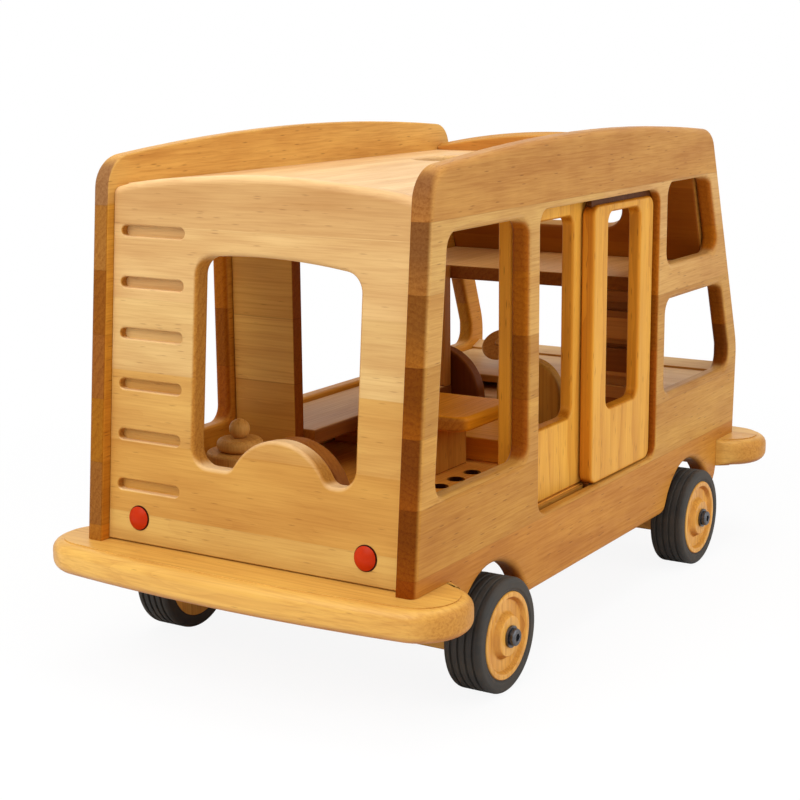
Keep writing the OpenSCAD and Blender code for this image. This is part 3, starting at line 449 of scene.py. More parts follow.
# noises in a board: size along and across the grain in mm, detail and roughness. Real pores are
# finer, but would not show; curl is bands across the grain that catch the light
woodNoise = dict(wander=(170, 42, 3, 0.55), cloud=(120, 24, 2, 0.5), curl=(24, 42, 2, 0.6), pore=(6, 1.7, 3, 0.7))
# which part of a noise darkens the wood, and the tone it is multiplied by
woodDark = dict(fibre=(0.42, 0.72, "#b8854a"), cloud=(0.35, 0.7, "#c79c68"), curl=(0.36, 0.7, "#b98d5c"))
# tones that rings, flecks, the rise of an end, pores and glue lines are multiplied by
woodTint = dict(ring="#c59a62", fleck="#7a4a22", rise="#d2d2f0", pore="#b07c48", seam="#6d431e")
fleckLong, fleckWide = 18, 2.2  # mm: cells of which some hold a dash about 6 mm long and 0.8 mm wide
fleckFade = (0.08, 0.24)        # shares of a cell between which its dash ends
poreNoise, poreDeep = (0.4, 0.75), 0.5
glossNoise, glossSpread = (0.3, 0.7), (-0.05, 0.09)
doorEdge = (-7, -5)             # mm: where the staves behind the door give way to those ahead of it
outerEnds = (235, 255)          # mm: where the jambs give way to the outer ends of the panels
roofEdge = (0.342, 0.344)       # metres: where the roof begins
seamFrom, seamTo = 0.6, 0.2     # mm from a glue line
# cosines between which a face that looks up takes on its painted highlight, one along the grain its end grain tone, one
# to the cabin its painted shade
highlightFacing, endFacing, shadeFacing = (0.25, 0.9), (0.28, 0.8), (0.3, 0.8)
lateSharp, fleckSunk, endDull, reliefDeep, oilIor = 2.6, -0.7, -0.7, 0.0006, 1.48


# oiled solid wood, planed and sanded: warm, satin, with growth rings seen as soft bands along the grain,
# fine fibres, short dark flecks and darker end grain where a board is cut across
def oiledWood(name, look):
    material, put = newMaterial(name)
    place = put("TexCoord")
    mm = put("Mapping", {"Vector": place.outputs["Object"], "Rotation": grainTurn[look["grain"]],
                         "Scale": (1000, 1000, 1000)})
    split = put("SeparateXYZ", [mm])
    across = split.outputs[look["stack"]]
    # staves: each takes its own piece of the log
    number = put("Math", [across, 1 / look["stave"], -look["seamAt"] / look["stave"]], "MULTIPLY_ADD")
    stave = put("Math", [number], "FLOOR")
    within = put("Math", [number], "FRACT")
    dice = put("TexWhiteNoise", {"W": stave}, noise_dimensions="1D")
    own = put("VectorMath", [dice.outputs["Color"], logShift, mm], "MULTIPLY_ADD")
    noise = {}
    for key, (along, wide, detail, roughness) in dict(woodNoise, fibre=look["fibre"]).items():
        at = put("Mapping", {"Vector": own, "Scale": (1 / along, 1 / wide, 1 / wide)})
        noise[key] = put("TexNoise", {"Vector": at, "Scale": 1, "Detail": detail, "Roughness": roughness})
    # growth rings: distance from the log's middle, bent by a slow wander along the grain
    fromPith = put("VectorMath", [own, (0, 1, 1), look["pith"]], "MULTIPLY_ADD")
    ringAt = put("VectorMath", [fromPith], "LENGTH")
    bent = put("Math", [noise["wander"], look["wander"], ringAt.outputs["Value"]], "MULTIPLY_ADD")
    ringCount = put("Math", [bent, 1 / look["ring"]], "MULTIPLY")
    ringShare = put("Math", [ringCount], "FRACT")
    late = put("Math", [ringShare, lateSharp], "POWER")
    # flecks: dashes in the middle of some cells
    fleckAt = put("Mapping", {"Vector": own, "Scale": (1 / fleckLong, 1 / fleckWide, 1 / fleckWide)})
    fleckCell = put("TexVoronoi", {"Vector": fleckAt, "Scale": 1, "Randomness": 1})
    fleck = put("MapRange", [fleckCell.outputs["Distance"], *fleckFade, 1, 0])
    cellDice = put("SeparateColor", [fleckCell.outputs["Color"]])
    chosen = put("Math", [cellDice, look["fleckShare"]], "LESS_THAN")
    patchy = put("Math", [fleck, chosen], "MULTIPLY")
    # tones of the staves, from the lowest up
    share = put("MapRange", [across, look["seamAt"], look["seamAt"] + look["stave"] * len(look["tones"])])
    tone = {}
    for key in ("tones", "endTones", "aheadTones", "jambShadeTones"):
        if key in look:
            stops = [(k / len(look[key]), linear(t)) for k, t in enumerate(look[key])]
            tone[key] = put("ValToRGB", [share], stops=stops)
            tone[key].color_ramp.interpolation = "CONSTANT"
    # layers over the tones: how much, of what, and how it is mixed in
    layers = []
    if "crestHighlight" in look:   # painted highlight: faces that look up take a paler tone, as if lit from above like the roof
        surface = put("SeparateXYZ", [place.outputs["Normal"]])
        topHighlight = put("MapRange", [surface.outputs[2], *highlightFacing])
        layers.append((topHighlight, linear(look["crestHighlight"]), "MIX"))
    if "aheadTones" in look:   # the door opening cuts the staves, so ahead of it they are other pieces of wood
        ahead = put("MapRange", [split, *doorEdge])
        layers.append((ahead, tone["aheadTones"], "MIX"))
    dark = [(late, woodTint["ring"], look["ringDepth"])]
    for key, (low, high, tint) in woodDark.items():
        dark.append((put("MapRange", [noise[key], low, high]), tint, look[key + "Depth"]))
    for value, tint, depth in dark + [(patchy, woodTint["fleck"], look["fleckDepth"])]:
        amount = put("Math", [value, depth], "MULTIPLY")
        layers.append((amount, linear(tint), "MULTIPLY"))
    # end grain where the surface looks along the grain: rings and pores without the long fibres
    facing = put("VectorMath", [place.outputs["Normal"], grainWay[look["grain"]]], "DOT_PRODUCT")
    endOn = put("Math", [facing.outputs["Value"]], "ABSOLUTE")
    endShare = put("MapRange", [endOn, *endFacing], interpolation_type="SMOOTHSTEP")
    endColour, endLayers = tone["endTones"], []
    if "endFade" in look:   # each stave's end grain deepens in tone toward the stave's top
        fade = put("MapRange", [within, 0, look["endFade"]])
        endLayers.append((fade, linear(woodTint["rise"]), "MULTIPLY"))
    if "jambShadeTones" in look:   # painted shade: end grain inside the openings takes deeper tones than the outer ends
        fromMiddle = put("Math", [split], "ABSOLUTE")
        jambShade = put("MapRange", [fromMiddle, *outerEnds, 1, 0])
        endLayers.append((jambShade, tone["jambShadeTones"], "MIX"))
    poreDark = put("MapRange", [noise["pore"], *poreNoise, 0, poreDeep])
    poreAmount = put("Math", [late, look["endRings"], poreDark], "MULTIPLY_ADD")
    for amount, tint, blend in endLayers + [(poreAmount, linear(woodTint["pore"]), "MULTIPLY")]:
        endColour = put("Mix", {0: amount, 6: endColour, 7: tint}, data_type="RGBA", blend_type=blend).outputs[2]
    layers.append((endShare, endColour, "MIX"))
    if "inner" in look:   # painted shade: faces turned this way take a deeper tone below the roof, for the shade they lie in
        way, tint = look["inner"]
        toward = put("VectorMath", [place.outputs["Normal"], way], "DOT_PRODUCT")
        turned = put("MapRange", [toward.outputs["Value"], *shadeFacing])
        height = put("SeparateXYZ", [place.outputs["Object"]])
        below = put("MapRange", [height.outputs[2], *roofEdge, 1, 0])
        amount = put("Math", [turned, below], "MULTIPLY")
        layers.append((amount, linear(tint), "MULTIPLY"))
    # glue lines about half a millimetre wide between the staves
    middle = put("Math", [within, 0.5], "SUBTRACT")
    toSeam = put("Math", [middle], "ABSOLUTE")
    seam = put("MapRange", [toSeam, 0.5 - seamFrom / look["stave"], 0.5 - seamTo / look["stave"], 0, look["seamDepth"]])
    colour = tone["tones"]
    for amount, tint, blend in layers + [(seam, linear(woodTint["seam"]), "MULTIPLY")]:
        colour = put("Mix", {0: amount, 6: colour, 7: tint}, data_type="RGBA", blend_type=blend).outputs[2]
    # satin: the pores stay duller than the polished fibres, and end grain duller than both
    rough = put("MapRange", [noise["fibre"], *glossNoise, *(look["rough"] + s for s in glossSpread)])
    relief = put("Math", [patchy, fleckSunk, noise["fibre"]], "MULTIPLY_ADD")
    bump = put("Bump", {"Height": relief, "Strength": look["relief"], "Distance": reliefDeep})
    gloss = put("Math", [endShare, endDull * look["gloss"], look["gloss"]], "MULTIPLY_ADD")
    shader = put("BsdfPrincipled", {"Base Color": colour, "Roughness": rough, "Normal": bump, "IOR": oilIor,
                                    "Specular IOR Level": gloss})
    put("OutputMaterial", [shader])
    return material


# looks: sizes in mm, tones of the staves from the lowest up, depths as shares
plainLook = dict(
    grain="x", stack=2, stave=400, seamAt=-20, tones=["#cf9a58"], endTones=["#94602c"], pith=(0, 70, -160), ring=5.5,
    wander=26, ringDepth=0.16, endRings=0.22, fibre=(110, 1.6, 4, 0.62), fibreDepth=0.34, cloudDepth=0.34,
    curlDepth=0.0, fleckShare=0.2, fleckDepth=0.3, seamDepth=0.12, rough=0.42, relief=0.1, gloss=0.12)
# side panels: staves glued up with the grain along the van, tones from the skirt up to the crown, and deeper end tones
# in the jambs for their shade (painted shade)
panelLook = dict(
    plainLook, stave=46.6, seamAt=16.1, ringDepth=0.14, curlDepth=0.12, fleckShare=0.4, fleckDepth=0.5,
    pith=(0, 60, -120), fibre=(34, 1.3, 4, 0.62), fibreDepth=0.36, cloudDepth=0.42,
    jambShadeTones=["#9c5210"] * 4 + ["#92500f", "#ac6212", "#a65c14", "#a65c14"])
# rear and front boards: pale honey-coloured wood with fine level streaks, and a painted highlight on edges that look up
rearLook = dict(
    plainLook, grain="y", stave=52, seamAt=68, pith=(0, 90, -40), endTones=["#b97f35"],
    tones=["#d3a85b", "#cb9749", "#d0a157", "#d8b375", "#d8b176", "#cba067"], ringDepth=0.08, fibre=(44, 1.2, 4, 0.62),
    fibreDepth=0.24, fleckShare=0.36, fleckDepth=0.32, seamDepth=0.06, cloudDepth=0.4, crestHighlight="#ecc68e")
# bumpers and hubs: golden, straight grained, with painted shade on faces that look down
goldLook = dict(
    plainLook, grain="y", tones=["#e3b055"], endTones=["#c48b3f"], pith=(0, 260, 60), fleckShare=0.16, fleckDepth=0.35,
    rough=0.36, gloss=0.3, endRings=0.08, inner=((0, 0, -1), "#c8a884"))
# door leaves: golden orange, upright grain with a few dark uneven lines, and painted shade, a deeper orange, on faces
# that look to the tail
doorLook = dict(
    plainLook, grain="z", tones=["#dfa443"], endTones=["#bc771c"], pith=(0, 190, 70), ring=17, wander=34,
    ringDepth=0.34, fibre=(70, 1.2, 4, 0.62), fibreDepth=0.28, fleckShare=0.5, fleckDepth=0.5, rough=0.4,
    inner=((-1, 0, 0), "#fee3a0"))
benchLook = dict(plainLook, grain="y", tones=["#e79927"], endTones=["#a8621c"])
# posts and leaf tongues: a deep tone that stands for the shade they sit in (painted shade)
shadeLook = dict(plainLook, grain="z", tones=["#b0702c"], endTones=["#8c4a14"], gloss=0.1)
# seat backs: a deep tone that stands for the shade they stand in (painted shade)
seatBackLook = dict(plainLook, grain="z", tones=["#8f5520"], endTones=["#8f5520"], gloss=0.08)
woodLooks = {
    "oiledAlderStaves": dict(
        panelLook, endFade=0.55,
        tones=["#c58734", "#c48633", "#c18a39", "#cc9949", "#bf8d43", "#d1a259", "#d2a761", "#c48f48"],
        aheadTones=["#c58734", "#c48633", "#cb9948", "#c3934b", "#c5944d", "#d1a25d", "#d6aa69", "#c48f48"],
        endTones=["#833f06", "#a54f05", "#874507", "#87460b", "#8c4b0b", "#995d1c", "#996229", "#a66d33"]),
    # left panel: painted shade on faces that look into the cabin
    "oiledAlderStavesLight": dict(
        panelLook, curlDepth=0.05, inner=((0, -1, 0), "#fff0a4"),
        tones=["#ca8737", "#d08d3d", "#c68c40", "#d4994c", "#d1994b", "#daa65b", "#dba961", "#e3b25f"],
        endTones=["#8d5924", "#a86b22", "#915c25", "#9d6318", "#915822", "#8b5218", "#9e692c", "#976b41"]),
    "oiledPaleMaple": rearLook,
    # roof: painted shade on its underside, and the painted highlight of faces that look up over its top
    "oiledMapleRoof": dict(
        rearLook, grain="x", stack=1, stave=51, seamAt=-127.5, fleckDepth=0.2, endTones=["#e2b878"],
        tones=["#dfb981", "#e5c18b", "#deba87", "#e4c089", "#e1bb84"], inner=((0, 0, -1), "#b49678")),
    # windscreen board: deep tones for the shade inside the alcove, painted shade on its rear face, and a golden painted
    # highlight on faces that look up
    "oiledMaplePaintedShade": dict(
        rearLook, tones=["#c98d3c", "#c48a3e", "#d0953f", "#cc9344", "#c98f42", "#d29a4c"], endTones=["#a8702c"],
        crestHighlight="#d09a48", inner=((-1, 0, 0), "#c49a58")),
    "oiledMapleStaves": dict(
        plainLook, grain="y", stave=52, seamAt=88, endTones=["#7d3d0c"], seamDepth=0.3,
        tones=["#d69d44", "#cf943e", "#daa44d", "#d39b45", "#d9a149"]),
    "oiledGoldenBeech": goldLook,
    "turnedGoldenBeech": dict(
        goldLook, grain="z", tones=["#e5ab4c"], endTones=["#da9d42"], ring=6, wander=22, pith=(0, 40, -90),
        ringDepth=0.4),
    "oiledOrangeBeech": doorLook,
    # rear leaf: the same painted shade on faces that look to the tail
    "oiledGoldenBeechDoor": dict(doorLook, tones=["#e8ad46"], inner=((-1, 0, 0), "#ffeab0")),
    "oiledBeechBench": benchLook,
    "oiledBeechTable": dict(plainLook, tones=["#e89616"], endTones=["#b06c22"]),
    "oiledBrownAlder": dict(plainLook, grain="y", tones=["#c8873b"], endTones=["#8c4a14"]),
    # bed over the cab: pale on top, its sawn rear end dark
    "oiledAlderBed": dict(plainLook, tones=["#e5ae68"], endTones=["#8a4c16"]),
    # slotted board: light and dark staves in turn
    "oiledAlderLadder": dict(
        plainLook, grain="y", stave=23, seamAt=111.5, endTones=["#8c4a14"],
        tones=["#c8873b", "#9c5e22", "#d0944a", "#8c5018", "#c8873b", "#9c5e22"]),
    "oiledAlderPost": shadeLook,
    "oiledAlderTongueShaded": dict(shadeLook, tones=["#5a3212"]),
    # floor board: its hole walls that look to the tail take a dark painted shade
    "oiledAlderFloor": dict(plainLook, tones=["#f6ae46"], endTones=["#9a5a1c"], inner=((-0.85, -0.53, 0), "#4c3a28")),
    # worktop: painted shade on its front edge, which looks to the door side
    "oiledAlderWorktop": dict(plainLook, tones=["#d2a266"], endTones=["#9a5a1c"], inner=((0, -1, 0), "#a07c58")),
    # driver's seat back: a deeper tone and a darker rear face, painted shade; passenger's: a paler tone, painted light
    # from the door window
    "oiledAlderUpright": seatBackLook,
    "oiledAlderDriverShaded": dict(seatBackLook, tones=["#8c5018"], inner=((-1, 0, 0), "#c4b09a")),
    "oiledAlderPassengerLit": dict(seatBackLook, tones=["#cf9a3e"], endTones=["#cf9a3e"]),
    # cab seat: a pale tone that stands for light falling under the dash (painted light)
    "oiledMapleSeatLit": dict(benchLook, tones=["#f0ca96"]),
    "turnedAlder": dict(plainLook, grain="z", tones=["#dca654"], endTones=["#d49b4c"], pith=(0, 20, -60)),
}
woods = {name: oiledWood(name, look) for name, look in woodLooks.items()}
print("woods made:", len(woods))


skinDeep = 0.0003


# a clouded surface: two tones mixed by noise, a gloss that goes with it, and a fine skin
def cloudedSkin(name, look):
    material, put = newMaterial(name)
    place = put("TexCoord")
    mm = put("Mapping", {"Vector": place.outputs["Object"], "Scale": (1000, 1000, 1000)})
    cloud = put("TexNoise", {"Vector": mm, "Scale": 1 / look["across"], "Detail": look["detail"],
                             "Roughness": look["broken"]})
    low, high, most = look["mix"]
    share = put("MapRange", [cloud, low, high, 0, most])
    colour = put("Mix", {0: share, 6: linear(look["deep"]), 7: linear(look["bright"])}, data_type="RGBA")
    rough = put("MapRange", [cloud, *glossNoise, *look["rough"]])
    sockets = dict(look["surface"], **{"Base Color": colour.outputs[2], "Roughness": rough})
    if "skin" in look:
        fine, detail, strength = look["skin"]
        skin = put("TexNoise", {"Vector": mm, "Scale": 1 / fine, "Detail": detail})
        sockets["Normal"] = put("Bump", {"Height": skin, "Strength": strength, "Distance": skinDeep})
    put("OutputMaterial", [put("BsdfPrincipled", sockets)])
    return material


# moulded rubber: dull near-black with a brown-grey bloom and grit, drawn coarser than its 0.4 mm to show
rubber = cloudedSkin("mouldedRubber", dict(
    deep="#2a2723", bright="#55493c", across=34, detail=5, broken=0.65, mix=(0.42, 0.75, 0.55), rough=(0.55, 0.75),
    skin=(0.8, 2, 0.2), surface={"Specular IOR Level": 0.35}))
# blackened steel: dark metal with lighter rubbed patches
steel = cloudedSkin("blackenedSteel", dict(
    deep="#3a3b3e", bright="#6d6e72", across=2.5, detail=3, broken=0.5, mix=(0, 1, 1), rough=(0.28, 0.45),
    surface={"Metallic": 1}))
# paint on wood, and a dark rim that stands for the shadow gap round the lamps: satin, with brush-soft clouds of tone
# and a faint orange-peel skin
paintLook = dict(
    across=7, detail=3, broken=0.5, mix=(0, 1, 1), rough=(0.34, 0.46), skin=(1.2, 1, 0.08),
    surface={"IOR": 1.5, "Specular IOR Level": 0.1})
# painted shadow: a dark rim round each lamp stands for the shadow gap at its edge
shadowGapPaint = cloudedSkin("paintedShadowRim", dict(paintLook, deep="#330f04", bright="#451806"))
redPaint = cloudedSkin("satinRedPaint", dict(paintLook, deep="#ac2400", bright="#c03206"))

# boards: where the face looks, the rounding of its edges and of its openings in mm, and the wood
tailBumper, noseBumper = boxOf("rear_bumper"), boxOf("front_bumper")
onBumper = [(zAxis, tailBumper[1][2]), (xAxis, tailBumper[1][0]), (xAxis, noseBumper[0][0])]
sideCut = dict(
    faceRound=5.5, backRound=1.5, holeRound=5.0, holeBackRound=4.5, squareAt=onBumper, grow=(3.0, 1.5), growFrom=110,
    tip={"beyond": 222, "below": 80, "round": 1.0})
doorGroove = {"from": 7.1, "wide": 4.8, "deep": 6.0, "corner": 12.2, "outerRound": 3.0, "innerRound": 1.2}
rearCut = dict(
    faceRound=1.0, backRound=1.2, topRound=7.5, holeRound=3.6, holeBackRound=2.4, pocketRound=1.4, grow=(0, 2.8),
    growFrom=290, growBeyond=55)
screenCut = dict(faceRound=1.6, backRound=1.6, topRound=7.0, holeRound=4.0, holeBackRound=2.5)
roofCut = dict(
    faceRound=0.5, backRound=0.5, holeRound=3.0, holeBackRound=2.0, roundAt=[(xAxis, boxOf("roof_panel")[0][0], 3.2)])
floorCut = dict(faceRound=0.5, backRound=0.5, holeRound=0.8, holeBackRound=0.8, pocketRound=0.4, pocketDeep=5.5)
bumperCut = dict(
    faceRound=8.6, backRound=9.0, holeRound=0.5, holeBackRound=0.5, step=0.8,
    ease={"within": 276, "from": 141, "over": 18})
leafCut = dict(faceRound=2.4, backRound=1.8, holeRound=3.0, holeBackRound=2.0)
smallCut = dict(faceRound=1.6, backRound=1.6, holeRound=1.2, holeBackRound=1.2)
blockCut = dict(smallCut, pocketDeep=20)
backCut = dict(smallCut, faceRound=2.4, backRound=2.4)
bodyOf = {"front_door_leaf": "front_door", "rear_door_leaf": "rear_door"}
boards = [
    ("side_panel_right", -yAxis, dict(sideCut, groove=doorGroove), "oiledAlderStaves"),
    ("side_panel_left", yAxis, sideCut, "oiledAlderStavesLight"),
    ("rear_panel", -xAxis, rearCut, "oiledPaleMaple"),
    ("windscreen_panel", xAxis, screenCut, "oiledMaplePaintedShade"),
    ("front_panel", xAxis, dict(smallCut, faceRound=1.0, backRound=0.6), "oiledPaleMaple"),
    ("roof_panel", zAxis, roofCut, "oiledMapleRoof"),
    ("floor_panel", zAxis, floorCut, "oiledAlderFloor"),
    ("rear_bumper", zAxis, bumperCut, "oiledGoldenBeech"),
    ("front_bumper", zAxis, bumperCut, "oiledGoldenBeech"),
    ("rear_axle_block", -zAxis, blockCut, "oiledGoldenBeech"),
    ("front_axle_block", -zAxis, blockCut, "oiledGoldenBeech"),
    ("front_door_leaf", -yAxis, dict(leafCut, faceRound=2.6), "oiledOrangeBeech"),
    ("rear_door_leaf", -yAxis, leafCut, "oiledGoldenBeechDoor"),
    ("alcove_bed", zAxis, smallCut, "oiledAlderBed"),
    ("ladder_board", -xAxis, dict(smallCut, pocketRound=1.0), "oiledAlderLadder"),
    ("bed_post", -xAxis, smallCut, "oiledAlderPost"),
    ("bathroom_wall", -xAxis, smallCut, "oiledMapleStaves"),
    ("rear_seat", zAxis, smallCut, "oiledBeechBench"),
    ("rear_seat_back", -xAxis, backCut, "oiledAlderUpright"),
    ("table_top", zAxis, dict(smallCut, faceRound=4.0, backRound=3.0), "oiledBeechTable"),
    ("table_leg", -yAxis, smallCut, "oiledOrangeBeech"),
    ("worktop", zAxis, dict(smallCut, faceRound=2.0), "oiledAlderWorktop"),
    ("worktop_end", xAxis, smallCut, "oiledBrownAlder"),
    ("dinette_bench", zAxis, smallCut, "oiledBeechBench"),
    ("driver_seat_back", -xAxis, backCut, "oiledAlderDriverShaded"),
    ("passenger_seat_back", -xAxis, backCut, "oiledAlderPassengerLit"),
    ("cab_seat", zAxis, smallCut, "oiledMapleSeatLit"),
    ("dashboard", zAxis, smallCut, "oiledPaleMaple"),
]
for nodeName, hint, cut, wood in boards:
    makePiece(boardParts(nodeName, hint, cut), bodyOf.get(nodeName, vanBody), woods[wood], nodeName)
print("boards made:", len(boards))

# tongues of the leaves: small boxes that run in the grooves, sunk a little into the leaf
leafTongue = dict(thick=4.0, inset=1.0, sunk=1.0)


# box from its two corners: four corner columns between two levels, with flat sides
def boxParts(low, high):
    x, y, z = zip(low, high)
    corners = np.array([(x[i], y[j], z[k]) for k in (0, 1) for i, j in ((0, 0), (1, 0), (1, 1), (0, 1))], float)
    faces = [[0, 1, 5, 4], [1, 2, 6, 5], [2, 3, 7, 6], [3, 0, 4, 7], [4, 5, 6, 7], [3, 2, 1, 0]]
    sides = np.array([-yAxis, xAxis, yAxis, -xAxis, zAxis, -zAxis])
    return corners, faces, np.repeat(sides, 4, 0)


for leaf, body in bodyOf.items():
    low, high = boxOf(leaf)
    end = leaf.split("_")[0]
    board = meshCorners(bpy.data.objects[end + "DoorLeaf"].data)[:, 2] * 1000
    middle, half = (low[1] + high[1]) / 2, leafTongue["thick"] / 2
    inset, sunk = leafTongue["inset"], leafTongue["sunk"]
    parts = [boxParts((low[0] + inset, middle - half, a), (high[0] - inset, middle + half, b))
             for a, b in ((low[2], board.min() + sunk), (board.max() - sunk, high[2]))]
    makePiece(joined(parts), body, woods["oiledAlderTongueShaded"], leaf, end + "LeafTongues")
print("leaf tongues made")

# wheels: hub and tyre turned about the axle
wheelLook = dict(
    tyreWide=30.0, tyreRadius=42.0, hubRadius=32.0, rim=4.0, rimSlope=2.2, dish=4.0, boss=15.0, bossFoot=2.5,
    bossLean=0.5, bossRise=1.5, bore=4.05, ribs=4, ribGroove=1.5, grooveMouth=0.7, grooveFloor=0.35, shoulder=3.4,
    seat=0.1, bead=(2.5, 1.2, 0.9))


def hubProfile(w):
    wide, dish, rise = w["tyreWide"], w["tyreWide"] - w["dish"], w["bossRise"]
    corners = [(w["bore"], -rise), (w["boss"], -rise), (w["boss"], 0), (w["hubRadius"], 0), (w["hubRadius"], wide),
               (w["hubRadius"] - w["rim"], wide), (w["hubRadius"] - w["rim"] - w["rimSlope"], dish),
               (w["boss"] + w["bossFoot"], dish), (w["boss"] - w["bossLean"], wide + rise), (w["bore"], wide + rise)]
    return softLine(corners, [0.3, 0.4, 0.3, 0.5, 1.2, 1.6, 1.6, 2.4, 1.4, 0.3], True)


def tyreProfile(w):
    wide, top, low = w["tyreWide"], w["tyreRadius"], w["hubRadius"] + w["seat"]
    step, g = (wide - 2 * w["shoulder"]) / w["ribs"], w["ribGroove"]
    mouth, floor = g * w["grooveMouth"], g * w["grooveFloor"]
    beadTop, beadLow, beadIn = w["bead"]
    corners, radii = [(low, 0), (top, 0)], [0.6, w["shoulder"]]
    for k in range(w["ribs"]):
        mid = w["shoulder"] + (k + 0.5) * step
        corners += [(top, mid - mouth), (top - g, mid - floor), (top - g, mid + floor), (top, mid + mouth)]
        radii += [0.35, 0.25, 0.25, 0.35]
    corners += [(top, wide), (low + beadTop, wide), (low + beadLow, wide - beadIn), (low, wide - beadIn)]
    radii += [w["shoulder"], 0.8, 0.4, 0.2]
    return softLine(corners, radii, True)


# wheel bolts: domed heads with a hexagon socket
boltLook = dict(headRadius=6.25, headTall=4.0, socketRadius=3.0, socketDeep=2.2, mouth=0.5, headFrom=33.4)


# share of the radius that turns a circle through the corners into a hexagon
def hexShare(angle):
    return math.cos(math.pi / 6) / np.cos(np.mod(angle, math.pi / 3) - math.pi / 6)


def boltPart(b, centre, way):
    axis, tall, mouth = way * yAxis, b["headTall"], b["socketRadius"] + b["mouth"]
    head = softLine([(0, 0), (b["headRadius"], 0), (b["headRadius"], tall), (mouth, tall)], [0, 0.4, 1.4, 0], False)
    socket = softLine([(mouth, tall), (b["socketRadius"], tall), (b["socketRadius"], tall - b["socketDeep"]),
                       (0, tall - b["socketDeep"])], [0, 0.25, 0.2, 0], False)
    share = lambda angle: np.where(np.arange(len(socket[0]))[:, None] == 0, 1.0, hexShare(angle)[None])
    base = centre + axis * b["headFrom"]
    return joined([turnedParts(*head, base, axis, False, columnsOf["bolt"]),
                   turnedParts(*socket, base, axis, False, columnsOf["bolt"], share)])


hubLine, tyreLine, bolts = hubProfile(wheelLook), tyreProfile(wheelLook), []
for end in ("rear", "front"):
    for side, way in (("right", -1), ("left", 1)):
        low, high = boxOf(f"tyre_{end}_{side}")
        centre = (low + high) / 2
        centre[1] = high[1] if way < 0 else low[1]
        for kind, line, material in (("hub", hubLine, woods["turnedGoldenBeech"]), ("tyre", tyreLine, rubber)):
            wheelPart = turnedParts(*line, centre, way * yAxis, True, columnsOf[kind])
            makePiece(wheelPart, f"wheel_{end}_{side}", material, f"{kind}_{end}_{side}")
        bolts.append(boltPart(boltLook, centre, way))
print("wheels made")
makePiece(joined(bolts), vanBody, steel, "wheel_bolts")
for nodeName in ("wheel_washers", "bumper_screws", "block_screws"):
    frame["nodes"][nodeName].data.materials.clear()
    frame["nodes"][nodeName].data.materials.append(steel)
print("bolts made")

# lamps: domed buttons on a dark rim that stands for the shadow gap round them (painted shadow), their place and lean
# read from the panels that carry them
lampLook = dict(
    radius=8.5, high=4.0, lip=1.3, foot=7.4, sunk=0.5, gap=0.7, edgeIn=0.2, edgeHigh=0.3, rim=9.3, rimHigh=0.35,
    rimUnder=0.4)
lampArc = np.linspace(0, 1, 12)


# middle of a lamp's foot: the middle of its outline, set back from its top by its height
def lampFoot(l, nodeName, axis):
    points, _ = nodeShape(nodeName)
    flat = points - np.outer(points @ axis, axis)
    centre = (flat.max(0) + flat.min(0)) / 2
    return centre - axis * (centre @ axis) + axis * ((points @ axis).max() - l["high"])


# dome of the radius that a chord and its rise give: (r squared + rise squared) / twice the rise
def lampPart(l, nodeName, axis):
    rise = l["high"] - l["lip"]
    dome = (l["radius"] ** 2 + rise ** 2) / (2 * rise)
    r = l["radius"] * (1 - lampArc)
    line = np.vstack([[(0, -l["sunk"]), (l["foot"], -l["sunk"]), (l["foot"], l["gap"]),
                       (l["radius"] - l["edgeIn"], l["gap"]), (l["radius"], l["gap"] + l["edgeHigh"])],
                      np.column_stack([r, l["high"] - dome + np.sqrt(dome ** 2 - r ** 2)])])
    out = np.vstack([[(0, -1), (1, 0), (0.2, -1), (0.2, -1), (1, 0)],
                     np.column_stack([r / dome, np.sqrt(1 - (r / dome) ** 2)])])
    return turnedParts(line, out, lampFoot(l, nodeName, axis), axis, False, columnsOf["lamp"])


rimIn = lampLook["foot"] - lampLook["rimUnder"]
rimLine = softLine([(rimIn, -lampLook["sunk"]), (lampLook["rim"], -lampLook["sunk"]),
                    (lampLook["rim"], lampLook["rimHigh"]), (rimIn, lampLook["rimHigh"])], [0.1, 0.1, 0.2, 0.1], True)
rearWay = mainNormal(*nodeShape("rear_panel"), -xAxis)
lampKinds = (("tail", rearWay, redPaint), ("head", xAxis, woods["turnedAlder"]))
for side in ("left", "right"):
    for lamp, way, material in lampKinds:
        nodeName = f"{lamp}_lamp_{side}"
        makePiece(lampPart(lampLook, nodeName, way), vanBody, material, nodeName)
    for lamp, way, _ in lampKinds:
        nodeName = f"{lamp}_lamp_{side}"
        rimPart = turnedParts(*rimLine, lampFoot(lampLook, nodeName, way), way, True, columnsOf["lamp"])
        makePiece(rimPart, vanBody, shadowGapPaint, nodeName, lamp + "LampRim" + side.capitalize())
print("lamps made")

# turned pieces: toilet with a knob that is a ball cut off below, steering wheel and column
toiletLook = dict(bowl=(0, 1.0, 2.2, 0), lid=(0, 4.6, 4.6, 0), knob=8.0, knobCut=1.0, knobSteps=28)
steeringLook = dict(bore=4.05, radius=18, halfThick=3, column=4)


# middle and half size in mm of a node's box
def boxMiddle(nodeName):
    low, high = boxOf(nodeName)
    return (low + high) / 2, (high - low) / 2


# profile of a full disc about the axis, from its foot to its top
def discLine(radius, reach, radii):
    return softLine([(0, -reach), (radius, -reach), (radius, reach), (0, reach)], radii, False)


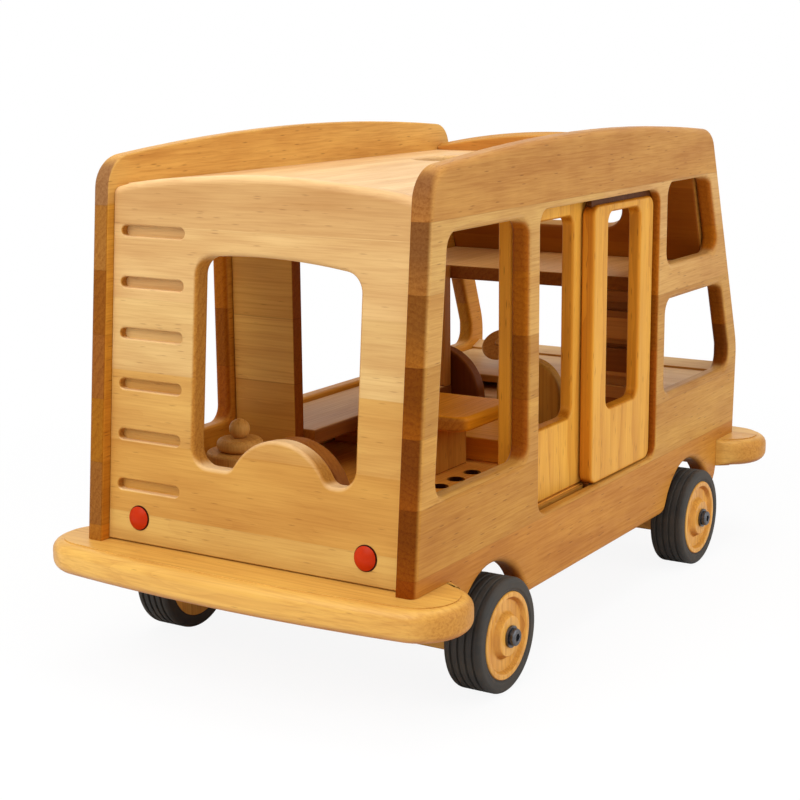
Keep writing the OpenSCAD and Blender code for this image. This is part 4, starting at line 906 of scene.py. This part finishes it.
for name in ("bowl", "lid"):
    mid, half = boxMiddle("toilet_" + name)
    line = discLine(half[0], half[2], toiletLook[name])
    makePiece(turnedParts(*line, mid, zAxis, False), vanBody, woods["turnedAlder"], "toilet_" + name)
mid, half = boxMiddle("toilet_knob")
ball, ballLow = toiletLook["knob"], toiletLook["knob"] - toiletLook["knobCut"]
tilt = np.linspace(-math.asin(ballLow / ball), math.pi / 2, toiletLook["knobSteps"])
ballOut = np.column_stack([np.cos(tilt), np.sin(tilt)])
ballOut[-1, 0] = 0
ballLine = np.vstack([[0, ball * math.sin(tilt[0])], ball * ballOut])
ballOut = np.vstack([[0, -1], ballOut])
ballAt = (mid[0], mid[1], mid[2] - half[2] + ballLow)
knobPart = turnedParts(ballLine, ballOut, ballAt, zAxis, False, columnsOf["lamp"])
makePiece(knobPart, vanBody, woods["turnedAlder"], "toilet_knob")

steeringAxis = unit(np.array(next(j["axis"] for j in frame["joints"] if j["name"] == "steering_spin"), float))
bore, edge, thick = (steeringLook[k] for k in ("bore", "radius", "halfThick"))
wheelRing = softLine([(bore, -thick), (edge, -thick), (edge, thick), (bore, thick)], [0.3, 2.4, 2.4, 0.3], True)
points, _ = nodeShape("steering_wheel")
mid = (points.max(0) + points.min(0)) / 2
makePiece(turnedParts(*wheelRing, mid, steeringAxis, True), "steering", woods["turnedAlder"], "steering_wheel")
points, _ = nodeShape("steering_column")
mid = (points.max(0) + points.min(0)) / 2
columnLine = discLine(steeringLook["column"], np.ptp(points @ steeringAxis) / 2, [0, 0.4, 1.2, 0])
columnPart = turnedParts(*columnLine, mid, steeringAxis, False, columnsOf["bolt"])
makePiece(columnPart, vanBody, woods["oiledGoldenBeech"], "steering_column")
print("turned pieces made")

# stage: pale floor that keeps a faint shadow, white behind, soft light from above and behind the camera's left
stageLook = dict(floorSize=12.0, floorTone=0.92, worldLight=0.5, shadowKept=0.09, shadowNear=0.5, shadowFar=0.95)
bpy.ops.mesh.primitive_plane_add(size=stageLook["floorSize"])
floor = bpy.context.object
floor.name = "studioFloor"
floorPaint, put = newMaterial("paleStudioFloor")
ray = put("LightPath")
place = put("TexCoord")
away = put("VectorMath", [place.outputs["Object"]], "LENGTH")
white = put("MapRange", [away.outputs["Value"], stageLook["shadowNear"], stageLook["shadowFar"],
                         1 - stageLook["shadowKept"]], interpolation_type="SMOOTHSTEP")
seen = put("Math", [ray.outputs["Is Camera Ray"], white], "MULTIPLY")
matte = put("BsdfDiffuse", {"Color": (stageLook["floorTone"],) * 3 + (1,)})
glow = put("Emission", {"Color": (1, 1, 1, 1), "Strength": 1})
mixed = put("MixShader", [seen, matte, glow])
put("OutputMaterial", [mixed])
floor.data.materials.append(floorPaint)

world = bpy.data.worlds.new("studioWhite")
bpy.context.scene.world = world
world.use_nodes = True
put = adder(world.node_tree)
ray = put("LightPath")
direct = ray.outputs["Is Camera Ray"]
for other in ("Is Glossy Ray", "Is Transmission Ray"):
    direct = put("Math", [direct, ray.outputs[other]], "MAXIMUM")
strength = put("MapRange", [direct, 0, 1, stageLook["worldLight"]])
sky = put("Background", {"Color": (1, 1, 1, 1), "Strength": strength})
put("OutputWorld", [sky])


# adds an object whose matrix has three axes and a place as its columns
def setUp(name, data, right, up, back, at):
    thing = bpy.data.objects.new(name, data)
    thing.matrix_world = Matrix(np.vstack([np.column_stack([right, up, back, at]), [0, 0, 0, 1]]).tolist())
    bpy.context.scene.collection.objects.link(thing)
    return thing


# round area lamps: place, aim and size in metres, power in watts
studioLamps = {"keyLamp": ((-1.5, 0.15, 1.5), (-0.1, 0, 0.2), 1.6, 24.0),
               "fillLamp": ((0.3, -2.0, 1.0), (0.1, 0, 0.2), 1.8, 18.0),
               "topLamp": ((0.1, -0.1, 2.2), (0, 0, 0), 2.0, 16.0)}
for name, (at, aim, size, power) in studioLamps.items():
    data = bpy.data.lights.new(name, "AREA")
    data.shape, data.size, data.energy = "DISK", size, power
    back = unit(np.subtract(at, aim))
    side = unit(np.cross(zAxis, back))
    setUp(name, data, side, np.cross(back, side), back, at)
print("stage lit")

# camera: place in metres, heading, tilt and roll in degrees, and the focal length in pixels of an 800 pixel frame
cameraLook = dict(
    at=(-1.1842, -0.6919, 0.4509), yaw=31.988, pitch=11.794, roll=-0.506, focal=1683.51, frame=800, sensor=36,
    clip=(0.05, 60))
yaw, pitch, roll = (math.radians(cameraLook[k]) for k in ("yaw", "pitch", "roll"))
ahead = np.array([math.cos(yaw) * math.cos(pitch), math.sin(yaw) * math.cos(pitch), -math.sin(pitch)])
level = np.array([math.sin(yaw), -math.cos(yaw), 0])
above = np.cross(level, ahead)
rightWay = math.cos(roll) * level + math.sin(roll) * above
upWay = math.cos(roll) * above - math.sin(roll) * level
cameraData = bpy.data.cameras.new("photoCamera")
cameraData.sensor_width = cameraLook["sensor"]
cameraData.lens = cameraLook["sensor"] * cameraLook["focal"] / cameraLook["frame"]
cameraData.clip_start, cameraData.clip_end = cameraLook["clip"]
camera = setUp("photoCamera", cameraData, rightWay, upWay, -ahead, cameraLook["at"])
bpy.context.scene.camera = camera
bpy.context.scene.view_settings.view_transform = "Standard"
print("camera set")
